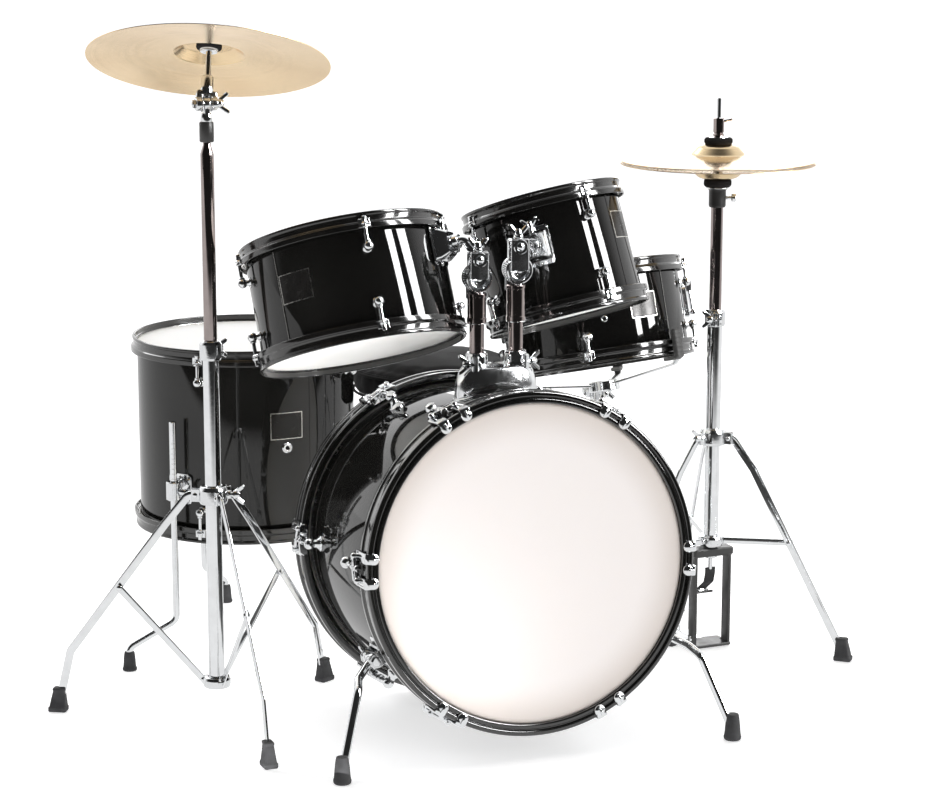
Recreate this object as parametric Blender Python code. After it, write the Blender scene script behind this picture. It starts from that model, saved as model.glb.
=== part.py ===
# Five-piece junior drum kit with crash cymbal, hi-hat, bass pedal and throne, at rest.
# Kit frame while building: the bass drum's centre plane is x = 0, the audience is at -Y, the drummer sits at +Y, the
# floor is z = 0. Everything is then shifted by KIT_SHIFT so that the kit's box is centred over the origin.
import bpy
import bmesh
import math
from mathutils import Matrix, Vector

for o in list(bpy.data.objects):
    bpy.data.objects.remove(o)

MM = 0.001
GAP = 0.3                       # clearance between touching pieces, mm
KIT_SHIFT = Vector((-15.1, -400.9, 0.0))

# bass drum
BASS_TILT = 0.088               # the front is lifted by the spurs, rad
BASS_Z = 243.6                  # centre of the front hoop face
BASS_LEN = 321.0
BASS_R = 203.0
BASS_WALL = 6.0
HOOP_R = 216.0
# rack toms, snare and floor tom: bottom centre, axis, rim-to-rim height, shell radius
TOM_L = (Vector((-151.8, 212.9, 480.2)), Vector((-0.075, 0.347, 0.935)), 158.0, 127.0)
TOM_R = (Vector((155.5, 276.0, 499.5)), Vector((-0.150, 0.290, 0.945)), 166.0, 101.6)
SNARE = (Vector((287.0, 482.0, 392.5)), Vector((-0.074, 0.240, 0.965)), 140.0, 127.0)
FLOOR_TOM = (Vector((-199.1, 613.1, 180.0)), Vector((0.0, 0.0, 1.0)), 268.7, 151.5)
FLOOR_LEG_R = 168.0
FLOOR_LEG_AZ = (218.0, 98.0, -22.0)
FLOOR_BEND_AZ = (167.6, 47.6, -100.0)
# stands
CRASH = Vector((-336.3, 273.4, 0.0))
CRASH_PHASE = 2.662
CRASH_R = 153.4
HIHAT = Vector((409.5, 367.4, 0.0))
HIHAT_PHASE = -0.712
HIHAT_R = 134.0
SNARE_STAND = Vector((291.0, 512.0, 0.0))
THRONE = Vector((118.0, 699.0, 0.0))
SEAT_Z = 378.0
SEAT_R = 133.0

kit = bpy.data.collections.new("drum_kit")
bpy.context.scene.collection.children.link(kit)


def material(name, rgb, metallic, rough):
    m = bpy.data.materials.new(name)
    m.use_nodes = True
    b = m.node_tree.nodes["Principled BSDF"]
    b.inputs["Base Color"].default_value = (*rgb, 1.0)
    b.inputs["Metallic"].default_value = metallic
    b.inputs["Roughness"].default_value = rough
    return m


GLOSS = dict(rgb=(0.008, 0.008, 0.009), metallic=0.0, rough=0.12)
HOOPS = dict(rgb=(0.010, 0.010, 0.011), metallic=0.0, rough=0.22)
CHROME = dict(rgb=(0.75, 0.76, 0.78), metallic=1.0, rough=0.08)
HEAD = dict(rgb=(0.86, 0.84, 0.80), metallic=0.0, rough=0.45)
BRASS = dict(rgb=(0.80, 0.66, 0.42), metallic=1.0, rough=0.28)
RUBBER = dict(rgb=(0.03, 0.03, 0.032), metallic=0.0, rough=0.75)
DARK = dict(rgb=(0.015, 0.015, 0.016), metallic=0.3, rough=0.35)
VINYL = dict(rgb=(0.018, 0.018, 0.020), metallic=0.0, rough=0.5)


# ---- shape helpers; every length is in mm -------------------------------------------------------------------
def frame_matrix(origin, axis, xhint=(1, 0, 0)):
    z = Vector(axis).normalized()
    x = Vector(xhint)
    x = (x - z * x.dot(z)).normalized()
    y = z.cross(x)
    m = Matrix((x, y, z)).transposed().to_4x4()
    m.translation = Vector(origin)
    return m


def to_object(bm, name="piece"):
    bmesh.ops.recalc_face_normals(bm, faces=bm.faces[:])
    for v in bm.verts:
        v.co *= MM
    me = bpy.data.meshes.new(name)
    bm.to_mesh(me)
    bm.free()
    o = bpy.data.objects.new(name, me)
    kit.objects.link(o)
    return o


def lathe(profile, m=Matrix(), steps=48):
    """Turns a closed (radius, height) profile about local z, then moves it by m."""
    bm = bmesh.new()
    vs = [bm.verts.new((r, 0.0, z)) for r, z in profile]
    n = len(vs)
    solid = profile[0][0] == 0 and profile[-1][0] == 0
    es = [bm.edges.new((vs[i], vs[(i + 1) % n])) for i in range(n - 1 if solid else n)]
    bmesh.ops.spin(bm, geom=vs + es, cent=(0, 0, 0), axis=(0, 0, 1), angle=2 * math.pi, steps=steps, use_duplicate=False)
    bmesh.ops.remove_doubles(bm, verts=bm.verts[:], dist=0.005)
    bmesh.ops.transform(bm, matrix=m, verts=bm.verts[:])
    return to_object(bm)


def cyl(p0, p1, r, n=16, r2=None):
    p0, p1 = Vector(p0), Vector(p1)
    bm = bmesh.new()
    bmesh.ops.create_cone(bm, cap_ends=True, segments=n, radius1=r, radius2=r if r2 is None else r2, depth=(p1 - p0).length)
    hint = (1, 0, 0) if abs((p1 - p0).normalized().x) < 0.9 else (0, 1, 0)
    bmesh.ops.transform(bm, matrix=frame_matrix((p0 + p1) / 2, p1 - p0, hint), verts=bm.verts[:])
    return to_object(bm)


def box(size, m):
    bm = bmesh.new()
    bmesh.ops.create_cube(bm, size=1.0)
    bmesh.ops.scale(bm, vec=Vector(size), verts=bm.verts[:])
    bmesh.ops.transform(bm, matrix=m, verts=bm.verts[:])
    return to_object(bm)


def bar(p0, p1, wide, thick, side, over=0.0):
    """A flat strip from p0 to p1; side is the direction of its width."""
    p0, p1 = Vector(p0), Vector(p1)
    d = (p1 - p0).normalized()
    return box((wide, thick, (p1 - p0).length + 2 * over), frame_matrix((p0 + p1) / 2, d, side))


def strip(points, wide, thick, side):
    """A bent flat strip: the outline of a thick polyline in its own plane, extruded by its width along side."""
    pts = [Vector(p) for p in points]
    side = Vector(side).normalized()
    normals = [(b - a).normalized().cross(side) for a, b in zip(pts, pts[1:])]
    offsets = []
    for i in range(len(pts)):
        n0, n1 = normals[max(0, i - 1)], normals[min(len(normals) - 1, i)]
        mid = (n0 + n1).normalized()
        offsets.append(mid * (thick / 2 / mid.dot(n1)))
    outline = [p + o for p, o in zip(pts, offsets)] + [p - o for p, o in reversed(list(zip(pts, offsets)))]
    bm = bmesh.new()
    face = bm.faces.new([bm.verts.new(p - side * wide / 2) for p in outline])
    moved = bmesh.ops.extrude_face_region(bm, geom=[face])["geom"]
    bmesh.ops.translate(bm, vec=side * wide, verts=[g for g in moved if isinstance(g, bmesh.types.BMVert)])
    return to_object(bm)


def ball(p, r, n=12):
    bm = bmesh.new()
    bmesh.ops.create_uvsphere(bm, u_segments=n, v_segments=n // 2 + 2, radius=r)
    bmesh.ops.translate(bm, vec=Vector(p), verts=bm.verts[:])
    return to_object(bm)


def rod(points, r, n=12):
    """A bent round rod: a poly curve with a round bevel and closed ends, made a mesh."""
    cu = bpy.data.curves.new("rod", "CURVE")
    cu.dimensions = "3D"
    sp = cu.splines.new("POLY")
    sp.points.add(len(points) - 1)
    for q, p in zip(sp.points, points):
        q.co = (*(Vector(p) * MM), 1.0)
    cu.bevel_depth = r * MM
    cu.bevel_resolution = max(0, n // 4 - 1)
    cu.use_fill_caps = True
    tmp = bpy.data.objects.new("rod", cu)
    kit.objects.link(tmp)
    graph = bpy.context.evaluated_depsgraph_get()
    me = bpy.data.meshes.new_from_object(tmp.evaluated_get(graph))
    bpy.data.objects.remove(tmp)
    bm = bmesh.new()
    bm.from_mesh(me)
    bmesh.ops.scale(bm, vec=Vector((1000, 1000, 1000)), verts=bm.verts[:])
    bmesh.ops.remove_doubles(bm, verts=bm.verts[:], dist=0.005)
    return to_object(bm)


def arc(points, i, radius, k=4):
    """Rounds corner i of a polyline: returns the points that replace it."""
    a, b, c = (Vector(points[j]) for j in (i - 1, i, i + 1))
    u, v = (a - b).normalized(), (c - b).normalized()
    half = u.angle(v) / 2
    t = min(radius / math.tan(half), (a - b).length * 0.48, (c - b).length * 0.48)
    rr = t * math.tan(half)
    centre = b + (u + v).normalized() * (rr / math.sin(half))
    s, e = b + u * t - centre, b + v * t - centre
    return [centre + s.lerp(e, j / k).normalized() * rr for j in range(k + 1)]


def rounded(points, radius, k=4):
    out = [Vector(points[0])]
    for i in range(1, len(points) - 1):
        out += arc(points, i, radius, k)
    return out + [Vector(points[-1])]


def combine(first, others, operation):
    for o in others:
        mod = first.modifiers.new("join", "BOOLEAN")
        mod.operation = operation
        mod.solver = "EXACT"
        mod.object = o
        graph = bpy.context.evaluated_depsgraph_get()
        me = bpy.data.meshes.new_from_object(first.evaluated_get(graph))
        first.modifiers.clear()
        first.data = me
        bpy.data.objects.remove(o)
    return first


def join(*pieces):
    return combine(pieces[0], pieces[1:], "UNION")


def cut(piece, *cutters):
    return combine(piece, cutters, "DIFFERENCE")


def node(name, obj, look, pivot=None):
    """Names the piece, gives it its own material, and puts its origin on its joint's axis."""
    obj.name = obj.data.name = name
    obj.data.materials.clear()
    obj.data.materials.append(material(name + "_mat", **look))
    p = (Vector(pivot) if pivot is not None else Vector((0, 0, 0))) + KIT_SHIFT
    for v in obj.data.vertices:
        v.co += (KIT_SHIFT - p) * MM
    obj.location = p * MM
    for f in obj.data.polygons:
        f.use_smooth = len(f.vertices) == 4
    return obj


def polar(az, r=1.0, z=0.0):
    return Vector((r * math.cos(math.radians(az)), r * math.sin(math.radians(az)), z))


# ---- bass drum ----------------------------------------------------------------------------------------------
AX = Vector((0, math.cos(BASS_TILT), -math.sin(BASS_TILT)))
UP = Vector((0, math.sin(BASS_TILT), math.cos(BASS_TILT)))
BO = Vector((0, 0, BASS_Z))
BM = frame_matrix(BO, AX)


def bass(phi, r, s):
    f = math.radians(phi)
    return BO + AX * s + (Vector((1, 0, 0)) * math.cos(f) + UP * math.sin(f)) * r


LUG_PHI = [60 * k - 2.5 for k in range(6)]
shell = lathe([(BASS_R - BASS_WALL, 7.0), (BASS_R, 7.0), (BASS_R, BASS_LEN - 7.0), (BASS_R - BASS_WALL, BASS_LEN - 7.0)], BM, 36)
lugs = []
for phi in LUG_PHI:
    for s0, s1, far in ((78.0, 42.0, 0), (BASS_LEN - 78.0, BASS_LEN - 42.0, 1)):
        lugs += [cyl(bass(phi, 201, s0), bass(phi, 221, s0), 8, 8, 6), cyl(bass(phi, 216, s0), bass(phi, 216, s1), 2.8, 6)]
for sx in (-1, 1):
    lugs.append(box((16, 26, 46), frame_matrix(bass(90 - sx * 120, 206, 66), AX, bass(90 - sx * 120, 1, 0) - BO)))
shell = join(shell, *lugs)
node("bass_shell", shell, GLOSS)


def bass_ring(flip, profile, steps=36):
    prof = [(r, BASS_LEN - s) if flip else (r, s) for r, s in profile]
    return lathe(prof, BM, steps)


for flip, tag in ((False, "front"), (True, "batter")):
    head = bass_ring(flip, [(0, 5.4), (206.2, 5.4), (206.2, 16), (203.4, 16), (203.4, 6.4), (0, 6.4)])
    node("bass_%s_head" % tag, head, HEAD)
    hoop = bass_ring(flip, [(200.5, 0), (214, 0), (216, 3), (216, 34), (213.5, 36), (206.6, 36), (206.6, 5), (200.5, 5)])
    claws = []
    for phi in LUG_PHI:
        if flip and abs(phi - 237.5 - 32.5) < 1:
            continue
        s = lambda v: BASS_LEN - v if flip else v
        radial = (bass(phi, 1, 0) - BO)
        mid = (bass(phi, 218.6, s(-2.5)) + bass(phi, 218.6, s(41.5))) / 2
        claws.append(box((6.8, 30, 44), frame_matrix(mid, AX, radial)))
        claws.append(box((19, 27, 4.4), frame_matrix(bass(phi, 211.4, s(-0.7)), AX, radial)))
    hoop = join(hoop, *claws)
    node("bass_%s_hoop" % tag, hoop, HOOPS)

for sx, tag in ((-1, "left"), (1, "right")):
    p0 = bass(90 - sx * 120, 223.6, 66)
    pts = [p0, Vector((sx * 222, 22, 112)), Vector((sx * 229, 0, 104)), Vector((sx * 260, -32, 10))]
    knuckle = cyl(p0 - AX * 14, p0 + AX * 14, 9, 16)
    leg = join(knuckle, rod(rounded(pts, 14, 3), 5.5, 12), lathe([(0, 0), (11, 0), (12, 4), (8.5, 34), (0, 34)], Matrix.Translation((sx * 260, -32, 0)), 14))
    node("bass_spur_" + tag, leg, CHROME, p0)

# ---- drums with triple-flanged hoops -------------------------------------------------------------------------


def drum(prefix, spec, lug_az, steps, lug_drop=44.0, extra=(), cutters=()):
    base, axis, h, rs = spec
    m = frame_matrix(base, axis)

    def at(az, r, z):
        return m @ polar(az, r, z)

    shell = lathe([(rs - 5, 10.0), (rs, 10.0), (rs, h - 10.0), (rs - 5, h - 10.0)], m, steps)
    bits = []
    for az in lug_az:
        for z0, z1 in ((lug_drop, 23.0), (h - lug_drop, h - 23.0)):
            bits += [cyl(at(az, rs - 2, z0), at(az, rs + 13, z0), 5.0, 8, 5.6), cyl(at(az, rs + 9, z0), at(az, rs + 9, z1), 2.4, 6)]
    shell = join(shell, *bits, *[e(at) for e in extra])
    if cutters:
        shell = cut(shell, *[c(at) for c in cutters])
    node(prefix + "_shell", shell, GLOSS)
    for low, tag in ((False, "top"), (True, "bottom")):
        zz = (lambda z: z) if low else (lambda z: h - z)
        head = lathe([(r, zz(z)) for r, z in [(0, 8.7), (rs + 3.4, 8.7), (rs + 3.4, 17), (rs + 0.5, 17), (rs + 0.5, 9.6), (0, 9.6)]], m, steps)
        node("%s_%s_head" % (prefix, tag), head, HEAD)
        hoop = lathe([(r, zz(z)) for r, z in [(rs + 2.2, 0), (rs + 6.2, 0), (rs + 5.7, 13), (rs + 8.5, 18), (rs + 8.5, 21.5), (rs + 3.8, 21.5), (rs + 3.8, 8.4), (rs + 2.2, 8.4)]], m, steps)
        node("%s_%s_hoop" % (prefix, tag), hoop, HOOPS)
    return at


def socket(az, z, rs, depth=22.0, size=(38.0, 44.0)):
    """A bracket block standing on the shell at az; it takes the arm or leg of that side."""
    def make(at):
        d = (at(az, 1, z) - at(az, 0, z)).normalized()
        up = (at(0, 0, z + 1) - at(0, 0, z)).normalized()
        return box((depth, size[0], size[1]), frame_matrix(at(az, rs - 2 + depth / 2, z), up, d))
    return make


TL_AZ, TR_AZ = -41.0, -123.0
tl = drum("left_tom", TOM_L, (-95, -5, 85, 175), 26, extra=(socket(TL_AZ, 112, TOM_L[3]),))
tr = drum("right_tom", TOM_R, (-80, 10, 100, 190), 24, extra=(socket(TR_AZ, 96, TOM_R[3]),))
ft = drum("floor_tom", FLOOR_TOM, (-129, -39, 51, 141), 28,
          extra=[socket(az, 73, FLOOR_TOM[3], 26.0, (30.0, 26.0)) for az in FLOOR_LEG_AZ],
          cutters=[(lambda at, az=az: cyl(at(az, FLOOR_LEG_R, 40), at(az, FLOOR_LEG_R, 110), 5.3, 16)) for az in FLOOR_LEG_AZ]
          + [lambda at: cyl(at(-84, 140, 132), at(-84, 160, 132), 4.5, 16)])
THROW_AZ = -8.0
sn = drum("snare", SNARE, (-118, -28, 62, 152), 26, lug_drop=40.0, extra=(socket(THROW_AZ, 70, SNARE[3], 14.0, (26.0, 60.0)),))

for i, az in enumerate(FLOOR_LEG_AZ):
    top = FLOOR_TOM[0] * 1 + polar(az, FLOOR_LEG_R)
    out = polar(FLOOR_BEND_AZ[i], 66.0)
    pts = [Vector((top.x, top.y, 349)), Vector((top.x, top.y, 70)), Vector((top.x + out.x, top.y + out.y, 32)), Vector((top.x + out.x, top.y + out.y, 8))]
    foot = lathe([(0, 0), (10, 0), (7.5, 26), (0, 26)], Matrix.Translation((top.x + out.x, top.y + out.y, 0)), 16)
    node("floor_tom_leg_%d" % (i + 1), join(rod(rounded(pts, 12, 3), 5.0, 12), foot), CHROME, (top.x, top.y, 253))

# snare throw-off lever, hinged on the block at the shell's side
d = (sn(THROW_AZ, 1, 0) - sn(THROW_AZ, 0, 0)).normalized()
t = (sn(THROW_AZ + 90, 1, 0) - sn(THROW_AZ, 0, 0)).normalized()
up = SNARE[1].normalized()
q = sn(THROW_AZ, SNARE[3] + 12 + GAP + 4, 58)
node("snare_throwoff", join(cyl(q - t * 9, q + t * 9, 4, 12), box((7, 12, 46), frame_matrix(q + up * 24, up, d))), CHROME, q)

# ---- tom mount on the bass shell -----------------------------------------------------------------------------
MY = 140.0
top_z = BASS_Z - MY * math.tan(BASS_TILT) + BASS_R
base = lathe([(0, 0), (70, 0), (64, 12), (52, 42), (0, 42)], Matrix.Translation((1, MY, top_z - 6)) @ Matrix.Diagonal((0.80, 0.42, 1.0, 1.0)), 32)
collars = [cyl((-25.0, MY, top_z + 28), (-25.0, MY, top_z + 54), 15, 20), cyl((27.5, MY, top_z + 28), (27.5, MY, top_z + 54), 15, 20)]
base = join(base, *collars)
under = lathe([(0, 20), (BASS_R + GAP, 20), (BASS_R + GAP, BASS_LEN - 20), (0, BASS_LEN - 20)], BM, 96)
base = cut(base, under, cyl((-25.0, MY, top_z + 12), (-25.0, MY, top_z + 60), 9.6, 20), cyl((27.5, MY, top_z + 12), (27.5, MY, top_z + 60), 9.6, 20))
node("tom_mount_base", base, CHROME)
POST_L, POST_R = Vector((-25.0, MY, 0)), Vector((27.5, MY, 0))
PIV_L, PIV_R = Vector((-25.0, MY, 584)), Vector((29.0, MY, 592))
for tag, p, piv in (("left", POST_L, PIV_L), ("right", POST_R, PIV_R)):
    at = p + Vector((0, 0, 0))
    post = join(cyl(at + Vector((0, 0, top_z + 14)), at + Vector((0, 0, 532)), 9.3, 20), cyl(at + Vector((0, 0, 527)), at + Vector((0, 0, piv.z - 19)), 12.4, 20),
                box((24, 8, 40), Matrix.Translation((p.x, MY + 8.5, piv.z - 8))))
    node("tom_post_" + tag, post, CHROME, p + Vector((0, 0, 500)))


def arm(piv, target, inward, tag, rise):
    """The swinging half of a tilter: a ratchet disc facing the front, a clamp block, and the rod into the tom's bracket."""
    disc = cyl(piv + Vector((0, -12, 0)), piv + Vector((0, 4.2, 0)), 17.5, 24)
    neck = piv + Vector((0, -4, rise))
    clamp = box((26, 17, rise + 12), Matrix.Translation((piv.x, piv.y - 4.5, piv.z + (rise + 12) / 2 - 2)))
    tip = target + inward * 0.4
    return join(disc, clamp, rod(rounded([neck, target + inward * 18, tip], 6, 2), 5.5, 12))


tipL = tl(TL_AZ, TOM_L[3] + 20, 112)
inL = (tl(TL_AZ, 1, 0) - tl(TL_AZ, 0, 0)).normalized()
node("tom_arm_left", arm(PIV_L, tipL, inL, "left", 24.0), CHROME, PIV_L)
tipR = tr(TR_AZ, TOM_R[3] + 20, 96)
inR = (tr(TR_AZ, 1, 0) - tr(TR_AZ, 0, 0)).normalized()
node("tom_arm_right", arm(PIV_R, tipR, inR, "right", 30.0), CHROME, PIV_R)

# ---- tripods ---------------------------------------------------------------------------------------------------


def tripod(centre, azimuths, path, wide, thick, collar_z, tube_r, brace=None, foot_r=11.0, low=None):
    """Collar, three strip legs standing on edge and their braces, as one welded frame around a tube."""
    pieces = [cyl(centre + Vector((0, 0, collar_z - 12)), centre + Vector((0, 0, collar_z + 12)), tube_r + 9, 16)]
    if low is not None:
        pieces.append(cyl(centre + Vector((0, 0, low - 7)), centre + Vector((0, 0, low + 7)), tube_r + 8, 16))
    for az in azimuths:
        u, side = polar(az), polar(az + 90)
        pts = [centre + u * r + Vector((0, 0, z)) for r, z in path]
        pieces.append(strip(pts, thick, wide, side))
        foot = lathe([(0, 0), (foot_r, 0), (foot_r - 3, 30), (0, 30)], Matrix.Translation(centre + u * (path[-1][0] + 2)), 12)
        pieces.append(foot)
        if brace:
            (r0, z0), (r1, z1) = brace
            pieces.append(bar(centre + u * r0 + Vector((0, 0, z0)), centre + u * r1 + Vector((0, 0, z1)), 3.2, 8.0, side, 1.0))
    body = join(*pieces)
    return cut(body, cyl(centre + Vector((0, 0, 4)), centre + Vector((0, 0, collar_z + 40)), tube_r + GAP + 0.15, 20))


def tube(centre, z0, z1, r, wall=1.6, n=20):
    return lathe([(r - wall, z0), (r, z0), (r, z1), (r - wall, z1)], Matrix.Translation(centre), n)


AZ_C = [math.degrees(CRASH_PHASE) + 120 * k for k in range(3)]
node("crash_tripod", tripod(CRASH, AZ_C, [(17, 300), (34, 297), (66, 257), (196, 82), (212, 14)], 12, 3.6, 300, 10.4, ((17, 52), (127, 171)), low=50), CHROME)
node("crash_base_tube", join(tube(CRASH, 44, 492, 10.4), cut(cyl(CRASH + Vector((0, 0, 476)), CRASH + Vector((0, 0, 500)), 14.5, 20), cyl(CRASH + Vector((0, 0, 470)), CRASH + Vector((0, 0, 510)), 8.9, 24))), CHROME)
CT = CRASH + Vector((0, 0, 800))
node("crash_upper_tube", join(cyl(CRASH + Vector((0, 0, 380)), CRASH + Vector((0, 0, 748)), 8.5, 20), cyl(CRASH + Vector((0, 0, 744)), CRASH + Vector((0, 0, 785)), 9.5, 20, 7.5), box((7.2, 13, 23), Matrix.Translation(CT + Vector((0, 0, -9.3))))), DARK, CRASH + Vector((0, 0, 600)))
# the tilter swings about a cross axis; its rod leans away from the audience with the cymbal, whose near edge is raised
LEAN = Vector((0.166, 0.354, 1.0)).normalized()
CE = CT + LEAN * 54.0           # centre of the cymbal's edge plane
CC = CE + LEAN * 25.0           # underside of its bell
tilt = join(cyl(CT + Vector((-14, 0, 0)), CT + Vector((-4.4, 0, 0)), 9, 16), cyl(CT + Vector((4.4, 0, 0)), CT + Vector((14, 0, 0)), 9, 16),
            box((28, 10, 7), frame_matrix(CT + LEAN * 12.5, LEAN)), box((9, 10, 14), frame_matrix(CT + Vector((-9.3, 0, 0)) + LEAN * 7, LEAN)), box((9, 10, 14), frame_matrix(CT + Vector((9.3, 0, 0)) + LEAN * 7, LEAN)),
            cyl(CT + LEAN * 10, CT + LEAN * 101, 3.2, 12), cyl(CC - LEAN * 9, CC - LEAN * 0.3, 16, 20), cyl(CC + LEAN * 1.8, CC + LEAN * 11, 14, 16))
node("crash_tilter", tilt, CHROME, CT)


def cymbal(centre, axis, r, bell_r, bell_h, bow, hole=5.0, thick=1.4, steps=32, flip=False):
    """Edge at local height 0, bow rising to the flat-topped conical bell; a little thicker than a real cymbal's 1 mm."""
    top = [(r, 0), (r * 0.62, bow * 0.6), (bell_r * 1.03, bow), (bell_r * 0.75, bow + bell_h * 0.72), (17.0, bow + bell_h), (hole, bow + bell_h)]
    prof = [(a, z + thick) for a, z in top] + [(a, z) for a, z in reversed(top)]
    m = frame_matrix(centre, axis)
    if flip:
        prof = [(a, -z) for a, z in prof]
    return lathe(prof, m, steps)


node("crash_cymbal", cymbal(CE, LEAN, CRASH_R, 43.7, 15.0, 10.0), BRASS, CC)

AZ_H = [math.degrees(HIHAT_PHASE) + 120 * k for k in range(3)]
node("hihat_tripod", tripod(HIHAT, AZ_H, [(17, 306), (30, 303), (60, 262), (192, 14)], 12, 3.6, 306, 10.4, ((17, 156), (113, 161)), low=156), CHROME)
node("hihat_base_tube", join(tube(HIHAT, 146.4, 482, 10.4), cut(cyl(HIHAT + Vector((0, 0, 463)), HIHAT + Vector((0, 0, 486)), 14.5, 20), cyl(HIHAT + Vector((0, 0, 450)), HIHAT + Vector((0, 0, 500)), 8.9, 24))), CHROME)
HT = 690.0                      # height of the closed pair's edge
node("hihat_upper_tube", join(tube(HIHAT, 360, 648, 8.5, 3.5), cut(cyl(HIHAT + Vector((0, 0, 636)), HIHAT + Vector((0, 0, 656)), 12, 20), cyl(HIHAT + Vector((0, 0, 600)), HIHAT + Vector((0, 0, 700)), 5.0, 16)),
                              cut(cyl(HIHAT + Vector((0, 0, 654)), HIHAT + Vector((0, 0, 660)), 19, 24), cyl(HIHAT + Vector((0, 0, 600)), HIHAT + Vector((0, 0, 700)), 5.0, 16))), DARK, HIHAT + Vector((0, 0, 500)))
node("hihat_rod", join(cyl(HIHAT + Vector((0, 0, 118)), HIHAT + Vector((0, 0, 778)), 3.0, 12),
                       cyl(HIHAT + Vector((0, 0, 719.5)), HIHAT + Vector((0, 0, 752)), 8, 16)), CHROME, HIHAT + Vector((0, 0, 400)))
node("hihat_bottom_cymbal", cymbal(HIHAT + Vector((0, 0, HT - 1.0)), (0, 0, 1), HIHAT_R, 37.0, 15.0, 7.0, flip=True), BRASS, HIHAT + Vector((0, 0, HT)))
node("hihat_top_cymbal", cymbal(HIHAT + Vector((0, 0, HT + 2.5)), (0, 0, 1), HIHAT_R, 37.0, 15.0, 7.0), BRASS, HIHAT + Vector((0, 0, HT)))
# pedal frame: bridge under the tube, two side plates, a floor plate running back to the heel
HD, HE = polar(95.0), polar(5.0)
hm = frame_matrix(HIHAT, (0, 0, 1), HE)


def hloc(x, y, z):
    return hm @ Vector((x, y, z))


def hbox(size, x, y, z):
    return box(size, hm @ Matrix.Translation((x, y, z)))


frame = join(hbox((68, 26, 12), 0, 0, 139.6), hbox((7, 20, 135), -29.5, 0, 70.5), hbox((7, 20, 135), 29.5, 0, 70.5), hbox((67, 42, 5), 0, 8, 3.2), hbox((16, 196, 4), 0, 102, 3.6), hbox((61, 40, 6), 0, 199, 4.0), hbox((57, 6, 14), 0, 214, 9.5))
frame = cut(frame, cyl(HIHAT + Vector((0, 0, 120)), HIHAT + Vector((0, 0, 150)), 4.0, 14))
node("hihat_frame", frame, DARK)
HEEL = hloc(0, 206, 18.5)
TOE = hloc(0, 22, 74)
bd = (TOE - HEEL).normalized()
board = join(bar(HEEL, TOE, 46, 5, HE, 3), cyl(hloc(-23, 206, 18.5), hloc(23, 206, 18.5), 4.2, 12))
node("hihat_footboard", board, DARK, HEEL)

# ---- snare stand -----------------------------------------------------------------------------------------------
S0 = SNARE_STAND
node("snare_stand_tripod", tripod(S0, [60, 180, 300], [(17, 176), (34, 174), (62, 148), (134, 12)], 12, 3.6, 178, 10.4, ((16, 62), (92, 92)), low=60), CHROME)
node("snare_stand_base_tube", tube(S0, 54, 262, 10.4), CHROME)
SP = S0 + Vector((0, 0, 352))
node("snare_stand_upper_tube", join(cyl(S0 + Vector((0, 0, 190)), S0 + Vector((0, 0, 338)), 8.4, 20), box((12, 18, 30), Matrix.Translation(SP + Vector((0, 0, -6))))), CHROME, S0 + Vector((0, 0, 260)))
hub = SNARE[0] - up * 27.0
arms = [cyl(hub - up * 9, hub + up * 7, 22, 20), cyl(SP + Vector((-16, 0, 0)), SP + Vector((-6.5, 0, 0)), 9, 14), cyl(SP + Vector((6.5, 0, 0)), SP + Vector((16, 0, 0)), 9, 14),
        bar(SP + Vector((-11.2, 0, 0)), hub + Vector((-11.2, 0, 0)), 9, 12, (1, 0, 0), 2), bar(SP + Vector((11.2, 0, 0)), hub + Vector((11.2, 0, 0)), 9, 12, (1, 0, 0), 2)]
for az in (-62, 58, 178):
    low = [hub + (sn(az, 1, 0) - sn(az, 0, 0)) * 12, sn(az, SNARE[3] + 4, -13), sn(az, SNARE[3] + 14.5, -3), sn(az, SNARE[3] + 14.5, 32)]
    side = (sn(az + 90, 1, 0) - sn(az, 0, 0))
    arms += [strip(low, 10, 4, side)]
    out = sn(az, 1, 0) - sn(az, 0, 0)
    arms += [box((8, 14, 40), frame_matrix(sn(az, SNARE[3] + 14.2, 14), up, out)), box((25, 15, 6), frame_matrix(sn(az, SNARE[3] + 2, -4.8), up, out))]
node("snare_basket", join(*arms), CHROME, SP)

# ---- bass pedal ------------------------------------------------------------------------------------------------
PY = 338.0                      # front of the pedal's posts, just behind the batter hoop
pf = join(box((96, 24, 6), Matrix.Translation((0, PY + 10, 3.2))), box((8, 18, 118), Matrix.Translation((-42, PY + 10, 62))), box((8, 18, 118), Matrix.Translation((42, PY + 10, 62))),
          box((14, 200, 4), Matrix.Translation((0, PY + 110, 3.6))), box((64, 40, 6), Matrix.Translation((0, PY + 210, 3.9))), box((60, 6, 14), Matrix.Translation((0, PY + 227, 9.5))))
node("pedal_frame", pf, CHROME)
PH, PT = Vector((0, PY + 218, 19)), Vector((0, PY + 40, 62))
node("pedal_footboard", join(bar(PH, PT, 60, 5, (1, 0, 0), 3), cyl(PH + Vector((-27, 0, 0)), PH + Vector((27, 0, 0)), 4.2, 12)), CHROME, PH)
PA = Vector((0, PY + 10, 112))
beater = join(cyl(PA + Vector((-37.1, 0, 0)), PA + Vector((37.1, 0, 0)), 5.2, 16), cyl(PA, PA + Vector((0, 62, 96)), 3.4, 12), cyl(PA + Vector((0, 44, 106)), PA + Vector((0, 82, 82)), 19, 20), cyl(PA + Vector((-9, 0, 0)), PA + Vector((9, 0, 0)), 14, 20))
node("pedal_beater", beater, DARK, PA)

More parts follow.
